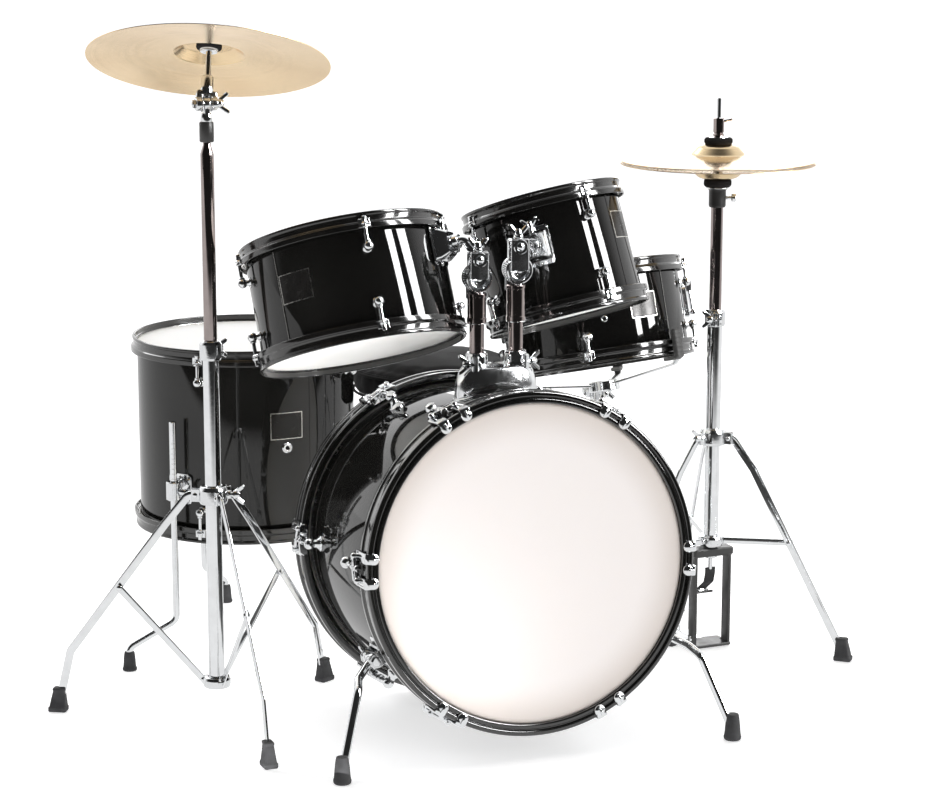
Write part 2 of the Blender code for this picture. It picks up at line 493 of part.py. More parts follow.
# ---- throne ----------------------------------------------------------------------------------------------------
node("throne_base", tripod(THRONE, [60, 180, 300], [(20, 196), (40, 192), (70, 160), (153, 14)], 14, 4.0, 196, 12.4, ((19, 70), (108, 92)), foot_r=12.0, low=66), CHROME)
node("throne_tube", tube(THRONE, 58, 268, 12.4, 2.0), CHROME)
node("throne_post", join(cyl(THRONE + Vector((0, 0, 200)), THRONE + Vector((0, 0, SEAT_Z - 54)), 10.1, 20), cyl(THRONE + Vector((0, 0, 268.5)), THRONE + Vector((0, 0, 282)), 16, 20)), CHROME, THRONE + Vector((0, 0, 280)))
seat = lathe([(0, SEAT_Z - 50), (SEAT_R - 12, SEAT_Z - 50), (SEAT_R - 3, SEAT_Z - 44), (SEAT_R, SEAT_Z - 34), (SEAT_R, SEAT_Z - 14), (SEAT_R - 5, SEAT_Z - 4), (SEAT_R - 18, SEAT_Z), (0, SEAT_Z)], Matrix.Translation(THRONE), 30)
hubc = cut(cyl(THRONE + Vector((0, 0, SEAT_Z - 90)), THRONE + Vector((0, 0, SEAT_Z - 49)), 17, 20), cyl(THRONE + Vector((0, 0, SEAT_Z - 100)), THRONE + Vector((0, 0, SEAT_Z - 53)), 10.5, 20))
node("throne_seat", join(seat, hubc), VINYL, THRONE + Vector((0, 0, SEAT_Z)))
bpy.context.view_layer.update()
print(len([o for o in kit.objects]), "pieces")
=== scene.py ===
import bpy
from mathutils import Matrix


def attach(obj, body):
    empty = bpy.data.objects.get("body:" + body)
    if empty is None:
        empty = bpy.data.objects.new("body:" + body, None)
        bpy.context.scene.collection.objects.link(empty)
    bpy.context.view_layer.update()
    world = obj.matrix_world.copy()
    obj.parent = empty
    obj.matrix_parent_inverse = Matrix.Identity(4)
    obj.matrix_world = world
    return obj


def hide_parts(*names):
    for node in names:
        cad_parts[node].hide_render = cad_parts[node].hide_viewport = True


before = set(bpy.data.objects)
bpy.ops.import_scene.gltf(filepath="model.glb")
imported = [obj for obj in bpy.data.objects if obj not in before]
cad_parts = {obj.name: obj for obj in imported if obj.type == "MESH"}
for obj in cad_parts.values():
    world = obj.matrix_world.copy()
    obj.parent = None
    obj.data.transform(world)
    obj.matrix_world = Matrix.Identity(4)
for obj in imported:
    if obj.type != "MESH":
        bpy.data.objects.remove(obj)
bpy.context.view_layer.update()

import math

import bmesh
import bpy
import numpy as np
from mathutils import Matrix, Vector

MM = 0.001
SHIFT = np.array((-15.1, -400.9, 0.0))
scene = bpy.context.scene

# =============================================================================================== camera and light
scene.view_settings.view_transform = "Standard"
scene.view_settings.look = "None"
cam_data = bpy.data.cameras.new("camera")
cam = bpy.data.objects.new("camera", cam_data)
scene.collection.objects.link(cam)
scene.camera = cam
YAW, PITCH, ROLL = 0.331, 0.209, -0.002
cam.location = (-1.21495, -3.50408, 1.10251)
fwd = Vector((math.sin(YAW) * math.cos(PITCH), math.cos(YAW) * math.cos(PITCH), -math.sin(PITCH)))
right = Vector((math.cos(YAW), -math.sin(YAW), 0.0))
upv = right.cross(fwd)
r2 = right * math.cos(ROLL) + upv * math.sin(ROLL)
u2 = -right * math.sin(ROLL) + upv * math.cos(ROLL)
cam.rotation_mode = "QUATERNION"
cam.rotation_quaternion = Matrix((r2, u2, -fwd)).transposed().to_quaternion()
cam_data.sensor_width = 36.0
cam_data.lens = 106.19
cam_data.shift_x, cam_data.shift_y = 0.0408, 0.0464
cam_data.clip_start, cam_data.clip_end = 0.05, 200.0
cam_data.dof.use_dof = False


def area(name, at, to, w, h, radiance, colour=(1, 1, 1)):
    """A softbox: power from the radiance that its face should have."""
    d = bpy.data.lights.new(name, "AREA")
    d.shape, d.size, d.size_y = "RECTANGLE", w, h
    d.energy = radiance * math.pi * w * h
    d.color = colour
    o = bpy.data.objects.new(name, d)
    scene.collection.objects.link(o)
    o.location = at
    o.rotation_mode = "QUATERNION"
    o.rotation_quaternion = (Vector(to) - Vector(at)).to_track_quat("-Z", "Y")
    return o


def around(az, dist, z):
    return (dist * math.cos(math.radians(az)), dist * math.sin(math.radians(az)), z)


AIM = (0.0, -0.1, 0.45)
for lamp in (area("strip_a", around(-51.0, 2.75, 2.0), AIM, 0.42, 2.5, 34.0), area("strip_b", around(-32.0, 2.75, 2.0), AIM, 0.58, 2.5, 28.0)):
    lamp.visible_diffuse = False
for lamp in (area("soft_front", around(-64.0, 3.4, 1.9), AIM, 1.6, 1.6, 1.6), area("fill_left", around(-158.0, 2.9, 1.9), AIM, 0.5, 1.8, 4.0), area("top", (0.1, 0.35, 3.1), (0.0, 0.0, 0.3), 2.6, 1.8, 1.8)):
    lamp.visible_glossy = False
bounce = area("bounce", (-0.33, -0.40, 0.015), (-0.17, -0.19, 0.50), 0.5, 0.36, 5.0)
bounce.visible_camera = bounce.visible_glossy = False
area("rim_back", (-0.9, 2.6, 2.3), AIM, 1.6, 1.0, 4.0)
area("back_low", (1.65, 2.67, 1.15), (0.394, -0.033, 0.69), 1.8, 1.1, 2.4)

world = bpy.data.worlds.new("studio")
scene.world = world
world.use_nodes = True
wt = world.node_tree
wt.nodes.clear()
wout = wt.nodes.new("ShaderNodeOutputWorld")
wtc = wt.nodes.new("ShaderNodeTexCoord")
wdot = wt.nodes.new("ShaderNodeVectorMath")
wdot.operation = "DOT_PRODUCT"
wdot.inputs[1].default_value = (0.325, 0.946, 0.0)
wmap = wt.nodes.new("ShaderNodeMapRange")
wmap.interpolation_type = "SMOOTHSTEP"
wmap.inputs["From Min"].default_value, wmap.inputs["From Max"].default_value = -0.2, 0.36
wmap.inputs["To Min"].default_value, wmap.inputs["To Max"].default_value = 0.022, 1.15
wbg, wcam, wmix, wlp = (wt.nodes.new(n) for n in ("ShaderNodeBackground", "ShaderNodeBackground", "ShaderNodeMixShader", "ShaderNodeLightPath"))
wcam.inputs["Color"].default_value = (1, 1, 1, 1)
wbg.inputs["Color"].default_value = (1, 1, 1, 1)
wt.links.new(wtc.outputs["Generated"], wdot.inputs[0])
wt.links.new(wdot.outputs["Value"], wmap.inputs["Value"])
wt.links.new(wmap.outputs["Result"], wbg.inputs["Strength"])
wt.links.new(wlp.outputs["Is Camera Ray"], wmix.inputs[0])
wt.links.new(wbg.outputs[0], wmix.inputs[1])
wt.links.new(wcam.outputs[0], wmix.inputs[2])
wt.links.new(wmix.outputs[0], wout.inputs["Surface"])


# =============================================================================================== materials
def new_mat(name):
    m = bpy.data.materials.new(name)
    m.use_nodes = True
    return m, m.node_tree, m.node_tree.nodes["Principled BSDF"]


def noise(nt, scale, detail=3.0, rough=0.5, coord=None, distortion=0.0):
    n = nt.nodes.new("ShaderNodeTexNoise")
    n.inputs["Scale"].default_value = scale
    n.inputs["Detail"].default_value = detail
    n.inputs["Roughness"].default_value = rough
    n.inputs["Distortion"].default_value = distortion
    if coord is None:
        coord = nt.nodes.new("ShaderNodeTexCoord").outputs["Object"]
    nt.links.new(coord, n.inputs["Vector"])
    return n


def ramp(nt, src, lo, hi, to_lo, to_hi, smooth=False):
    r = nt.nodes.new("ShaderNodeMapRange")
    if smooth:
        r.interpolation_type = "SMOOTHSTEP"
    for k, v in (("From Min", lo), ("From Max", hi), ("To Min", to_lo), ("To Max", to_hi)):
        r.inputs[k].default_value = v
    nt.links.new(src, r.inputs["Value"])
    return r.outputs["Result"]


def mix(nt, fac, a, b):
    n = nt.nodes.new("ShaderNodeMix")
    n.data_type = "RGBA"
    n.clamp_factor = True
    if isinstance(fac, float):
        n.inputs[0].default_value = fac
    else:
        nt.links.new(fac, n.inputs[0])
    for sock, v in ((n.inputs[6], a), (n.inputs[7], b)):
        if isinstance(v, (tuple, list)):
            sock.default_value = (*v[:3], 1.0)
        else:
            nt.links.new(v, sock)
    return n.outputs[2]


def math_node(nt, op, a, b=0.0, c=0.0):
    n = nt.nodes.new("ShaderNodeMath")
    n.operation = op
    for k, v in enumerate((a, b, c)):
        if isinstance(v, (int, float)):
            n.inputs[k].default_value = v
        else:
            nt.links.new(v, n.inputs[k])
    return n.outputs[0]


def bump(nt, b, height, strength, distance):
    n = nt.nodes.new("ShaderNodeBump")
    n.inputs["Strength"].default_value = strength
    n.inputs["Distance"].default_value = distance
    nt.links.new(height, n.inputs["Height"])
    nt.links.new(n.outputs["Normal"], b.inputs["Normal"])
    return n


def finish_mat(name, rgb, metal=0.0, rough=(0.05, 0.1), rscale=40.0, cvar=0.1, cscale=20.0, bumps=(0.2, 120.0, 0.0002), coat=0.0, coat_rough=0.03,
               spec=0.5, wear=None, dust=0.0):
    """A finish with smudged roughness, slow colour change, fine surface relief, and dust that lies on what faces up."""
    m, nt, b = new_mat(name)
    coord = nt.nodes.new("ShaderNodeTexCoord").outputs["Object"]
    n1 = noise(nt, rscale, 5.0, 0.6, coord, 0.6)
    rough_out = ramp(nt, n1.outputs["Fac"], 0.3, 0.7, rough[0], rough[1])
    n2 = noise(nt, cscale, 3.0, 0.5, coord)
    lo = tuple(max(0.0, c * (1 - cvar)) for c in rgb)
    hi = tuple(min(1.0, c * (1 + cvar)) for c in rgb)
    col = mix(nt, ramp(nt, n2.outputs["Fac"], 0.3, 0.7, 0.0, 1.0), lo, hi)
    if wear:
        geo = nt.nodes.new("ShaderNodeNewGeometry")
        edge = ramp(nt, geo.outputs["Pointiness"], 0.53, 0.62, 0.0, 0.35)
        col = mix(nt, edge, col, wear)
    if dust:
        geo2 = nt.nodes.new("ShaderNodeNewGeometry")
        sep = nt.nodes.new("ShaderNodeSeparateXYZ")
        nt.links.new(geo2.outputs["Normal"], sep.inputs[0])
        speck = noise(nt, 900.0, 2.0, 0.7, coord)
        amount = math_node(nt, "MULTIPLY", ramp(nt, sep.outputs["Z"], 0.3, 1.0, 0.0, dust), ramp(nt, speck.outputs["Fac"], 0.5, 0.75, 0.2, 1.0))
        col = mix(nt, amount, col, (0.35, 0.34, 0.33))
        rough_out = math_node(nt, "ADD", rough_out, math_node(nt, "MULTIPLY", amount, 0.5))
    nt.links.new(col, b.inputs["Base Color"])
    nt.links.new(rough_out, b.inputs["Roughness"])
    b.inputs["Metallic"].default_value = metal
    b.inputs["Specular IOR Level"].default_value = spec
    b.inputs["Coat Weight"].default_value = coat
    b.inputs["Coat Roughness"].default_value = coat_rough
    if bumps:
        n3 = noise(nt, bumps[1], 2.0, 0.5, coord)
        bump(nt, b, n3.outputs["Fac"], bumps[0], bumps[2])
    return m


WRAP = finish_mat("wrap_gloss_black", (0.0095, 0.0093, 0.0085), 0.0, (0.02, 0.05), 25.0, 0.3, 9.0, (0.16, 38.0, 0.00022), coat=0.0, spec=0.5)
HOOP = finish_mat("hoop_black_enamel", (0.010, 0.0095, 0.0085), 0.0, (0.09, 0.15), 60.0, 0.25, 30.0, (0.08, 260.0, 0.00005), coat=0.5, coat_rough=0.05, spec=0.7, wear=(0.05, 0.05, 0.048))
BHOOP = finish_mat("bass_hoop_black_lacquer", (0.007, 0.0068, 0.006), 0.0, (0.06, 0.11), 45.0, 0.25, 22.0, (0.08, 120.0, 0.00006), coat=0.8, coat_rough=0.03, spec=0.75, wear=(0.04, 0.04, 0.038))
CHROME = finish_mat("chrome", (0.80, 0.81, 0.82), 1.0, (0.035, 0.11), 90.0, 0.04, 60.0, (0.12, 180.0, 0.0001))
CHROME_SOFT = finish_mat("chrome_cast", (0.76, 0.77, 0.78), 1.0, (0.08, 0.2), 70.0, 0.05, 50.0, (0.35, 130.0, 0.00035))
CHROME_DARK = finish_mat("chrome_tube_smoked", (0.36, 0.31, 0.30), 1.0, (0.05, 0.12), 60.0, 0.08, 40.0, (0.1, 150.0, 0.0001))
STEEL = finish_mat("bright_steel", (0.62, 0.62, 0.61), 1.0, (0.16, 0.3), 120.0, 0.08, 80.0, (0.3, 300.0, 0.0001))
TUBE_BLACK = finish_mat("tube_black_gloss", (0.010, 0.0095, 0.0085), 0.0, (0.06, 0.14), 50.0, 0.2, 25.0, (0.15, 90.0, 0.00012), coat=0.4, spec=0.6, wear=(0.08, 0.08, 0.078))
PAINT = finish_mat("black_satin_paint", (0.016, 0.0155, 0.015), 0.0, (0.28, 0.45), 60.0, 0.25, 40.0, (0.3, 420.0, 0.0001), spec=0.5, wear=(0.10, 0.10, 0.098))
RUBBER = finish_mat("rubber_dark", (0.030, 0.030, 0.032), 0.0, (0.6, 0.85), 90.0, 0.25, 70.0, (0.5, 700.0, 0.00015), spec=0.35, dust=0.25)
GREY_RUBBER = finish_mat("rubber_grey", (0.085, 0.085, 0.083), 0.0, (0.5, 0.7), 90.0, 0.15, 60.0, (0.4, 600.0, 0.00012), spec=0.4)
FELT_BLACK = finish_mat("felt_black", (0.014, 0.013, 0.013), 0.0, (0.9, 1.0), 200.0, 0.4, 900.0, (1.0, 1500.0, 0.0006), spec=0.1)
FELT_WHITE = finish_mat("felt_grey", (0.55, 0.53, 0.50), 0.0, (0.9, 1.0), 200.0, 0.2, 900.0, (1.0, 1500.0, 0.0006), spec=0.1)
NYLON = finish_mat("nylon_strap", (0.016, 0.016, 0.017), 0.0, (0.55, 0.7), 150.0, 0.3, 900.0, (0.8, 1200.0, 0.0003), spec=0.3)
WOOD = finish_mat("shell_inside_wood", (0.42, 0.27, 0.15), 0.0, (0.45, 0.6), 30.0, 0.25, 14.0, (0.3, 200.0, 0.0002))
BADGE_EDGE = finish_mat("badge_line_silver", (0.62, 0.61, 0.58), 1.0, (0.2, 0.35), 80.0, 0.06, 50.0, (0.2, 400.0, 0.00005))
BADGE_PLATE = finish_mat("badge_plate_dark", (0.018, 0.017, 0.016), 0.4, (0.15, 0.3), 80.0, 0.2, 50.0, (0.2, 400.0, 0.00005))


def head_mat(name, rgb, rim_shade_rgb, radius, coated=0.3, rough=(0.38, 0.5)):
    """A drum film: cream or white, with painted shade that darkens it towards the bearing edge, and a fine coating.
    Local Z is the drum's axis.
    """
    m, nt, b = new_mat(name)
    coord = nt.nodes.new("ShaderNodeTexCoord").outputs["Object"]
    sep = nt.nodes.new("ShaderNodeSeparateXYZ")
    nt.links.new(coord, sep.inputs[0])
    r = math_node(nt, "SQRT", math_node(nt, "ADD", math_node(nt, "MULTIPLY", sep.outputs["X"], sep.outputs["X"]), math_node(nt, "MULTIPLY", sep.outputs["Y"], sep.outputs["Y"])))
    # painted shade: over its outer band the film is mixed towards the darker rim colour, next to the hoop
    edge = ramp(nt, r, radius * 0.72, radius * 1.0, 0.0, 1.0, smooth=True)
    n = noise(nt, 7.0, 4.0, 0.55, coord)
    blot = mix(nt, ramp(nt, n.outputs["Fac"], 0.3, 0.7, 0.0, 0.5), rgb, tuple(c * 0.965 for c in rgb))
    col = mix(nt, math_node(nt, "MULTIPLY", edge, 0.75), blot, rim_shade_rgb)
    fleck = noise(nt, 420.0, 2.0, 0.7, coord)
    col = mix(nt, ramp(nt, fleck.outputs["Fac"], 0.66, 0.74, 0.0, 0.10), col, (0.45, 0.42, 0.38))
    nt.links.new(col, b.inputs["Base Color"])
    nt.links.new(ramp(nt, n.outputs["Fac"], 0.3, 0.7, rough[0], rough[1]), b.inputs["Roughness"])
    b.inputs["Subsurface Weight"].default_value = 0.06
    b.inputs["Subsurface Radius"].default_value = (0.01, 0.008, 0.006)
    b.inputs["Specular IOR Level"].default_value = 0.4
    grain = noise(nt, 1600.0, 3.0, 0.6, coord)
    bump(nt, b, grain.outputs["Fac"], coated, 0.00008)
    return m


def brass_mat(name, rgb, dark, centre, axis):
    """Spun bronze: lathe grooves round the disc's own axis, an anisotropic sheen along them, and a burnt colour in places.
    centre is in metres, in the same frame as the mesh."""
    m, nt, b = new_mat(name)
    coord = nt.nodes.new("ShaderNodeTexCoord").outputs["Object"]

    def vec(op, p, q=None):
        n = nt.nodes.new("ShaderNodeVectorMath")
        n.operation = op
        for k, v in enumerate((p, q)):
            if v is None:
                continue
            if isinstance(v, (tuple, list)):
                n.inputs[k].default_value = v
            else:
                nt.links.new(v, n.inputs[k])
        return n
    ax = tuple(Vector(axis).normalized())
    rel = vec("SUBTRACT", coord, tuple(centre)).outputs["Vector"]
    tang = vec("NORMALIZE", vec("CROSS_PRODUCT", rel, ax).outputs["Vector"]).outputs["Vector"]
    r = vec("LENGTH", vec("CROSS_PRODUCT", rel, ax).outputs["Vector"]).outputs["Value"]
    ring = nt.nodes.new("ShaderNodeTexNoise")
    ring.noise_dimensions = "1D"
    ring.inputs["Scale"].default_value = 1400.0
    ring.inputs["Detail"].default_value = 2.0
    nt.links.new(r, ring.inputs["W"])
    ring2 = nt.nodes.new("ShaderNodeTexNoise")
    ring2.noise_dimensions = "1D"
    ring2.inputs["Scale"].default_value = 160.0
    ring2.inputs["Detail"].default_value = 3.0
    nt.links.new(r, ring2.inputs["W"])
    cloud = noise(nt, 9.0, 4.0, 0.6, coord)
    c1 = mix(nt, ramp(nt, cloud.outputs["Fac"], 0.35, 0.7, 0.0, 0.8), rgb, dark)
    c2 = mix(nt, ramp(nt, ring2.outputs["Fac"], 0.35, 0.65, 0.0, 0.22), c1, tuple(min(1.0, c * 1.12) for c in rgb))
    c3 = mix(nt, ramp(nt, ring.outputs["Fac"], 0.35, 0.65, 0.0, 0.18), c2, dark)
    nt.links.new(c3, b.inputs["Base Color"])
    nt.links.new(ramp(nt, ring.outputs["Fac"], 0.3, 0.7, 0.15, 0.27), b.inputs["Roughness"])
    b.inputs["Metallic"].default_value = 1.0
    b.inputs["Anisotropic"].default_value = 0.75
    nt.links.new(tang, b.inputs["Tangent"])
    h = math_node(nt, "ADD", math_node(nt, "MULTIPLY", ring.outputs["Fac"], 0.5), ring2.outputs["Fac"])
    bump(nt, b, h, 0.35, 0.00012)
    return m


def vinyl_mat():
    m, nt, b = new_mat("seat_vinyl")
    coord = nt.nodes.new("ShaderNodeTexCoord").outputs["Object"]
    vor = nt.nodes.new("ShaderNodeTexVoronoi")
    vor.inputs["Scale"].default_value = 750.0
    vor.feature = "DISTANCE_TO_EDGE"
    nt.links.new(coord, vor.inputs["Vector"])
    n = noise(nt, 14.0, 4.0, 0.6, coord)
    n2 = noise(nt, 420.0, 3.0, 0.6, coord)
    col = mix(nt, ramp(nt, n.outputs["Fac"], 0.3, 0.7, 0.0, 1.0), (0.009, 0.009, 0.0095), (0.017, 0.0165, 0.016))
    nt.links.new(col, b.inputs["Base Color"])
    nt.links.new(ramp(nt, n.outputs["Fac"], 0.3, 0.7, 0.6, 0.75), b.inputs["Roughness"])
    b.inputs["Specular IOR Level"].default_value = 0.06
    h = math_node(nt, "ADD", ramp(nt, vor.outputs["Distance"], 0.0, 0.25, 0.0, 1.0), math_node(nt, "MULTIPLY", n2.outputs["Fac"], 0.5))
    bump(nt, b, h, 0.5, 0.00018)
    return m


VINYL = vinyl_mat()


# =============================================================================================== shapes, in kit millimetres
def frame_matrix(origin, axis, xhint=(1, 0, 0)):
    z = Vector(axis).normalized()
    x = Vector(xhint)
    x = (x - z * x.dot(z)).normalized()
    y = z.cross(x)
    m = Matrix((x, y, z)).transposed().to_4x4()
    m.translation = Vector(origin)
    return m


def T(x, y=None, z=None):
    return Matrix.Translation(Vector(x) if y is None else Vector((x, y, z)))


def xf(m, v):
    a = np.array(m)
    return np.asarray(v, float) @ a[:3, :3].T + a[:3, 3]


def arc2(p0, p1, p2, radius, k):
    """The points that replace corner p1 by an arc, in any number of dimensions."""
    p0, p1, p2 = (np.asarray(p, float) for p in (p0, p1, p2))
    u, v = p0 - p1, p2 - p1
    lu, lv = np.linalg.norm(u), np.linalg.norm(v)
    if lu < 1e-9 or lv < 1e-9:
        return [p1]
    u, v = u / lu, v / lv
    c = float(np.clip(u @ v, -1, 1))
    half = math.acos(c) / 2
    if half > 1.54 or half < 0.02:
        return [p1]
    t = min(radius / math.tan(half), lu * 0.49, lv * 0.49)
    rr = t * math.tan(half)
    centre = p1 + (u + v) / np.linalg.norm(u + v) * (rr / math.sin(half))
    s, e = p1 + u * t - centre, p1 + v * t - centre
    out = []
    for j in range(k + 1):
        q = s * (1 - j / k) + e * (j / k)
        out.append(centre + q / np.linalg.norm(q) * rr)
    return out


def rounded(points, radius, k=5, closed=False):
    pts = [np.asarray(tuple(p), float) for p in points]
    n = len(pts)
    out = [] if closed else [pts[0]]
    for i in (range(n) if closed else range(1, n - 1)):
        r = radius[i] if isinstance(radius, (list, tuple)) else radius
        out += arc2(pts[i - 1], pts[i], pts[(i + 1) % n], r, k) if r else [pts[i]]
    return out if closed else out + [pts[-1]]


def lathe(prof, m=Matrix(), n=96, closed=False):
    """Turns (radius, height) points about local Z; an open profile has to start and end on the axis."""
    verts, idx, c = [], [], 0
    a = np.arange(n) * (2 * math.pi / n)
    for r, z in prof:
        if r < 1e-6:
            verts.append(np.array([[0.0, 0.0, z]]))
            idx.append(np.full(n, c))
            c += 1
        else:
            verts.append(np.stack([r * np.cos(a), r * np.sin(a), np.full(n, float(z))], 1))
            idx.append(c + np.arange(n))
            c += n
    faces = []
    k = len(prof)
    for i in range(k if closed else k - 1):
        p, q = idx[i], idx[(i + 1) % k]
        p2, q2 = np.roll(p, -1), np.roll(q, -1)
        if p[0] == p[-1] and n > 1 and prof[i][0] < 1e-6:
            faces += [(int(x), int(y), int(z)) for x, y, z in zip(p, q2, q)]
        elif prof[(i + 1) % k][0] < 1e-6:
            faces += [(int(x), int(y), int(z)) for x, y, z in zip(p, p2, q)]
        else:
            faces += [(int(w), int(x), int(y), int(z)) for w, x, y, z in zip(p, p2, q2, q)]
    return xf(m, np.concatenate(verts)), faces


def cyl(p0, p1, r, n=32, r2=None, ch=0.6):
    """A round bar with its end edges broken."""
    p0, p1 = Vector(p0), Vector(p1)
    L = (p1 - p0).length
    r2 = r if r2 is None else r2
    ch = min(ch, r * 0.45, r2 * 0.45, L * 0.45)
    hint = (1, 0, 0) if abs((p1 - p0).normalized().x) < 0.9 else (0, 1, 0)
    prof = [(0, 0), (r - ch, 0), (r - ch * 0.3, ch * 0.3), (r, ch), (r2, L - ch), (r2 - ch * 0.3, L - ch * 0.3), (r2 - ch, L), (0, L)]
    return lathe(prof, frame_matrix(p0, p1 - p0, hint), n)


def ring(p0, p1, ro, ri, n=40, ch=0.5):
    p0, p1 = Vector(p0), Vector(p1)
    L = (p1 - p0).length
    ch = min(ch, L * 0.4, (ro - ri) * 0.4)
    hint = (1, 0, 0) if abs((p1 - p0).normalized().x) < 0.9 else (0, 1, 0)
    prof = [(ri, 0), (ro - ch, 0), (ro, ch), (ro, L - ch), (ro - ch, L), (ri, L)]
    return lathe(prof, frame_matrix(p0, p1 - p0, hint), n, closed=True)


def ball(p, r, n=24, squash=1.0, axis=(0, 0, 1)):
    k = n // 2
    prof = [(r * math.sin(math.pi * i / k), -r * squash * math.cos(math.pi * i / k)) for i in range(k + 1)]
    prof[0], prof[-1] = (0, prof[0][1]), (0, prof[-1][1])
    hint = (1, 0, 0) if abs(Vector(axis).normalized().x) < 0.9 else (0, 1, 0)
    return lathe(prof, frame_matrix(p, axis, hint), n)


def sweep(path, section, side=None, cap=True, scale=None):
    """Sweeps a closed 2-D section along a path. With side, the section's x stays along it; otherwise it is carried round."""
    P = [np.asarray(tuple(p), float) for p in path]
    S = np.asarray(section, float)
    n, k = len(P), len(S)
    tang = []
    for i in range(n):
        a = P[max(0, i - 1)]
        b = P[min(n - 1, i + 1)]
        t = b - a
        tang.append(t / np.linalg.norm(t))
    verts = []
    if side is not None:
        sd = np.asarray(tuple(side), float)
        sd /= np.linalg.norm(sd)
        for i in range(n):
            nrm = np.cross(tang[i], sd)
            nrm /= np.linalg.norm(nrm)
            stretch = 1.0
            if 0 < i < n - 1:
                u = P[i] - P[i - 1]
                u /= np.linalg.norm(u)
                stretch = 1.0 / max(0.5, abs(float(u @ tang[i])))
            s = 1.0 if scale is None else scale[i]
            verts.append(P[i] + np.outer(S[:, 0] * s, sd) + np.outer(S[:, 1] * stretch * s, nrm))
    else:
        t0 = tang[0]
        h = np.array([1.0, 0, 0]) if abs(t0[0]) < 0.9 else np.array([0, 1.0, 0])
        x = h - t0 * (h @ t0)
        x /= np.linalg.norm(x)
        for i in range(n):
            x = x - tang[i] * (x @ tang[i])
            x /= np.linalg.norm(x)
            y = np.cross(tang[i], x)
            s = 1.0 if scale is None else scale[i]
            verts.append(P[i] + np.outer(S[:, 0] * s, x) + np.outer(S[:, 1] * s, y))
    V = np.concatenate(verts)
    faces = []
    for i in range(n - 1):
        for j in range(k):
            a, b = i * k + j, i * k + (j + 1) % k
            faces.append((a, b, b + k, a + k))
    if cap:
        faces.append(tuple(range(k))[::-1])
        faces.append(tuple(range((n - 1) * k, n * k)))
    return V, faces


def disc_section(r, n=16):
    return [(r * math.cos(2 * math.pi * i / n), r * math.sin(2 * math.pi * i / n)) for i in range(n)]


def rect_section(w, t, r=0.6, k=2):
    r = min(r, w * 0.45, t * 0.45)
    return [tuple(p) for p in rounded([(-w / 2, -t / 2), (w / 2, -t / 2), (w / 2, t / 2), (-w / 2, t / 2)], r, k, closed=True)]


def rod(path, r, n=16, bend=None, k=6):
    pts = [np.asarray(tuple(p), float) for p in path]
    if bend:
        pts = rounded(pts, bend, k)
    # rounded ends
    d0 = pts[0] - pts[1]
    d0 /= np.linalg.norm(d0)
    d1 = pts[-1] - pts[-2]
    d1 /= np.linalg.norm(d1)
    e = min(r * 0.25, 0.8)
    pts = [pts[0], pts[0] - d0 * e] + pts[1:-1] + [pts[-1] - d1 * e, pts[-1]]
    sc = [1 - e / r] + [1.0] * (len(pts) - 2) + [1 - e / r]
    return sweep(pts, disc_section(r, n), scale=sc)


def strip(path, side, wide, thick, bend=6.0, k=5, r=0.7):
    return sweep(rounded(path, bend, k) if bend else path, rect_section(wide, thick, r), side=side)


def plate(outline, t, m=Matrix(), b=0.5, r=None, k=3):
    """A plate of a 2-D outline (counter-clockwise), with its edges broken by b; r rounds the outline's corners first."""
    pts = [np.asarray(p, float) for p in (rounded(outline, r, k, closed=True) if r else outline)]
    n = len(pts)
    inset = []
    for i in range(n):
        a, p, c = pts[i - 1], pts[i], pts[(i + 1) % n]
        u, v = p - a, c - p
        u, v = u / (np.linalg.norm(u) + 1e-12), v / (np.linalg.norm(v) + 1e-12)
        nu, nv = np.array([-u[1], u[0]]), np.array([-v[1], v[0]])
        w = nu + nv
        w /= np.linalg.norm(w) + 1e-12
        inset.append(p + w * (b / max(0.5, float(w @ nu))))
    rows = [(inset, -t / 2), (pts, -t / 2 + b), (pts, t / 2 - b), (inset, t / 2)]
    V = np.array([[p[0], p[1], z] for ps, z in rows for p in ps])
    F = [tuple(range(n))[::-1], tuple(range(3 * n, 4 * n))]
    for i in range(3):
        for j in range(n):
            a, c = i * n + j, i * n + (j + 1) % n
            F.append((a, c, c + n, a + n))
    return xf(m, V), F


def box(size, m=Matrix(), b=0.8, r=None):
    w, h, t = size
    r = min(w, h) * 0.18 if r is None else r
    return plate([(-w / 2, -h / 2), (w / 2, -h / 2), (w / 2, h / 2), (-w / 2, h / 2)], t, m, b=min(b, t * 0.3), r=max(0.1, r), k=3)


def hexnut(p, axis, across, t):
    hint = (1, 0, 0) if abs(Vector(axis).normalized().x) < 0.9 else (0, 1, 0)
    rr = across / math.sqrt(3)
    return plate([(rr * math.cos(math.pi / 3 * i), rr * math.sin(math.pi / 3 * i)) for i in range(6)], t, frame_matrix(p, axis, hint), b=0.5)


def rivet(p, axis, r=3.2, h=1.8):
    hint = (1, 0, 0) if abs(Vector(axis).normalized().x) < 0.9 else (0, 1, 0)
    prof = [(0, -0.5), (r, -0.5), (r, 0.2)] + [(r * math.cos(a), 0.2 + h * math.sin(a)) for a in (0.35, 0.7, 1.05, 1.35)] + [(0, 0.2 + h)]
    return lathe(prof, frame_matrix(p, axis, hint), 20)


def helix(p0, axis, r, turns, pitch, wire, n=10, per=22):
    hint = (1, 0, 0) if abs(Vector(axis).normalized().x) < 0.9 else (0, 1, 0)
    m = frame_matrix(p0, axis, hint)
    t = np.linspace(0, turns * 2 * math.pi, int(turns * per) + 1)
    pts = xf(m, np.stack([r * np.cos(t), r * np.sin(t), pitch * t / (2 * math.pi)], 1))
    return sweep(list(pts), disc_section(wire, n))


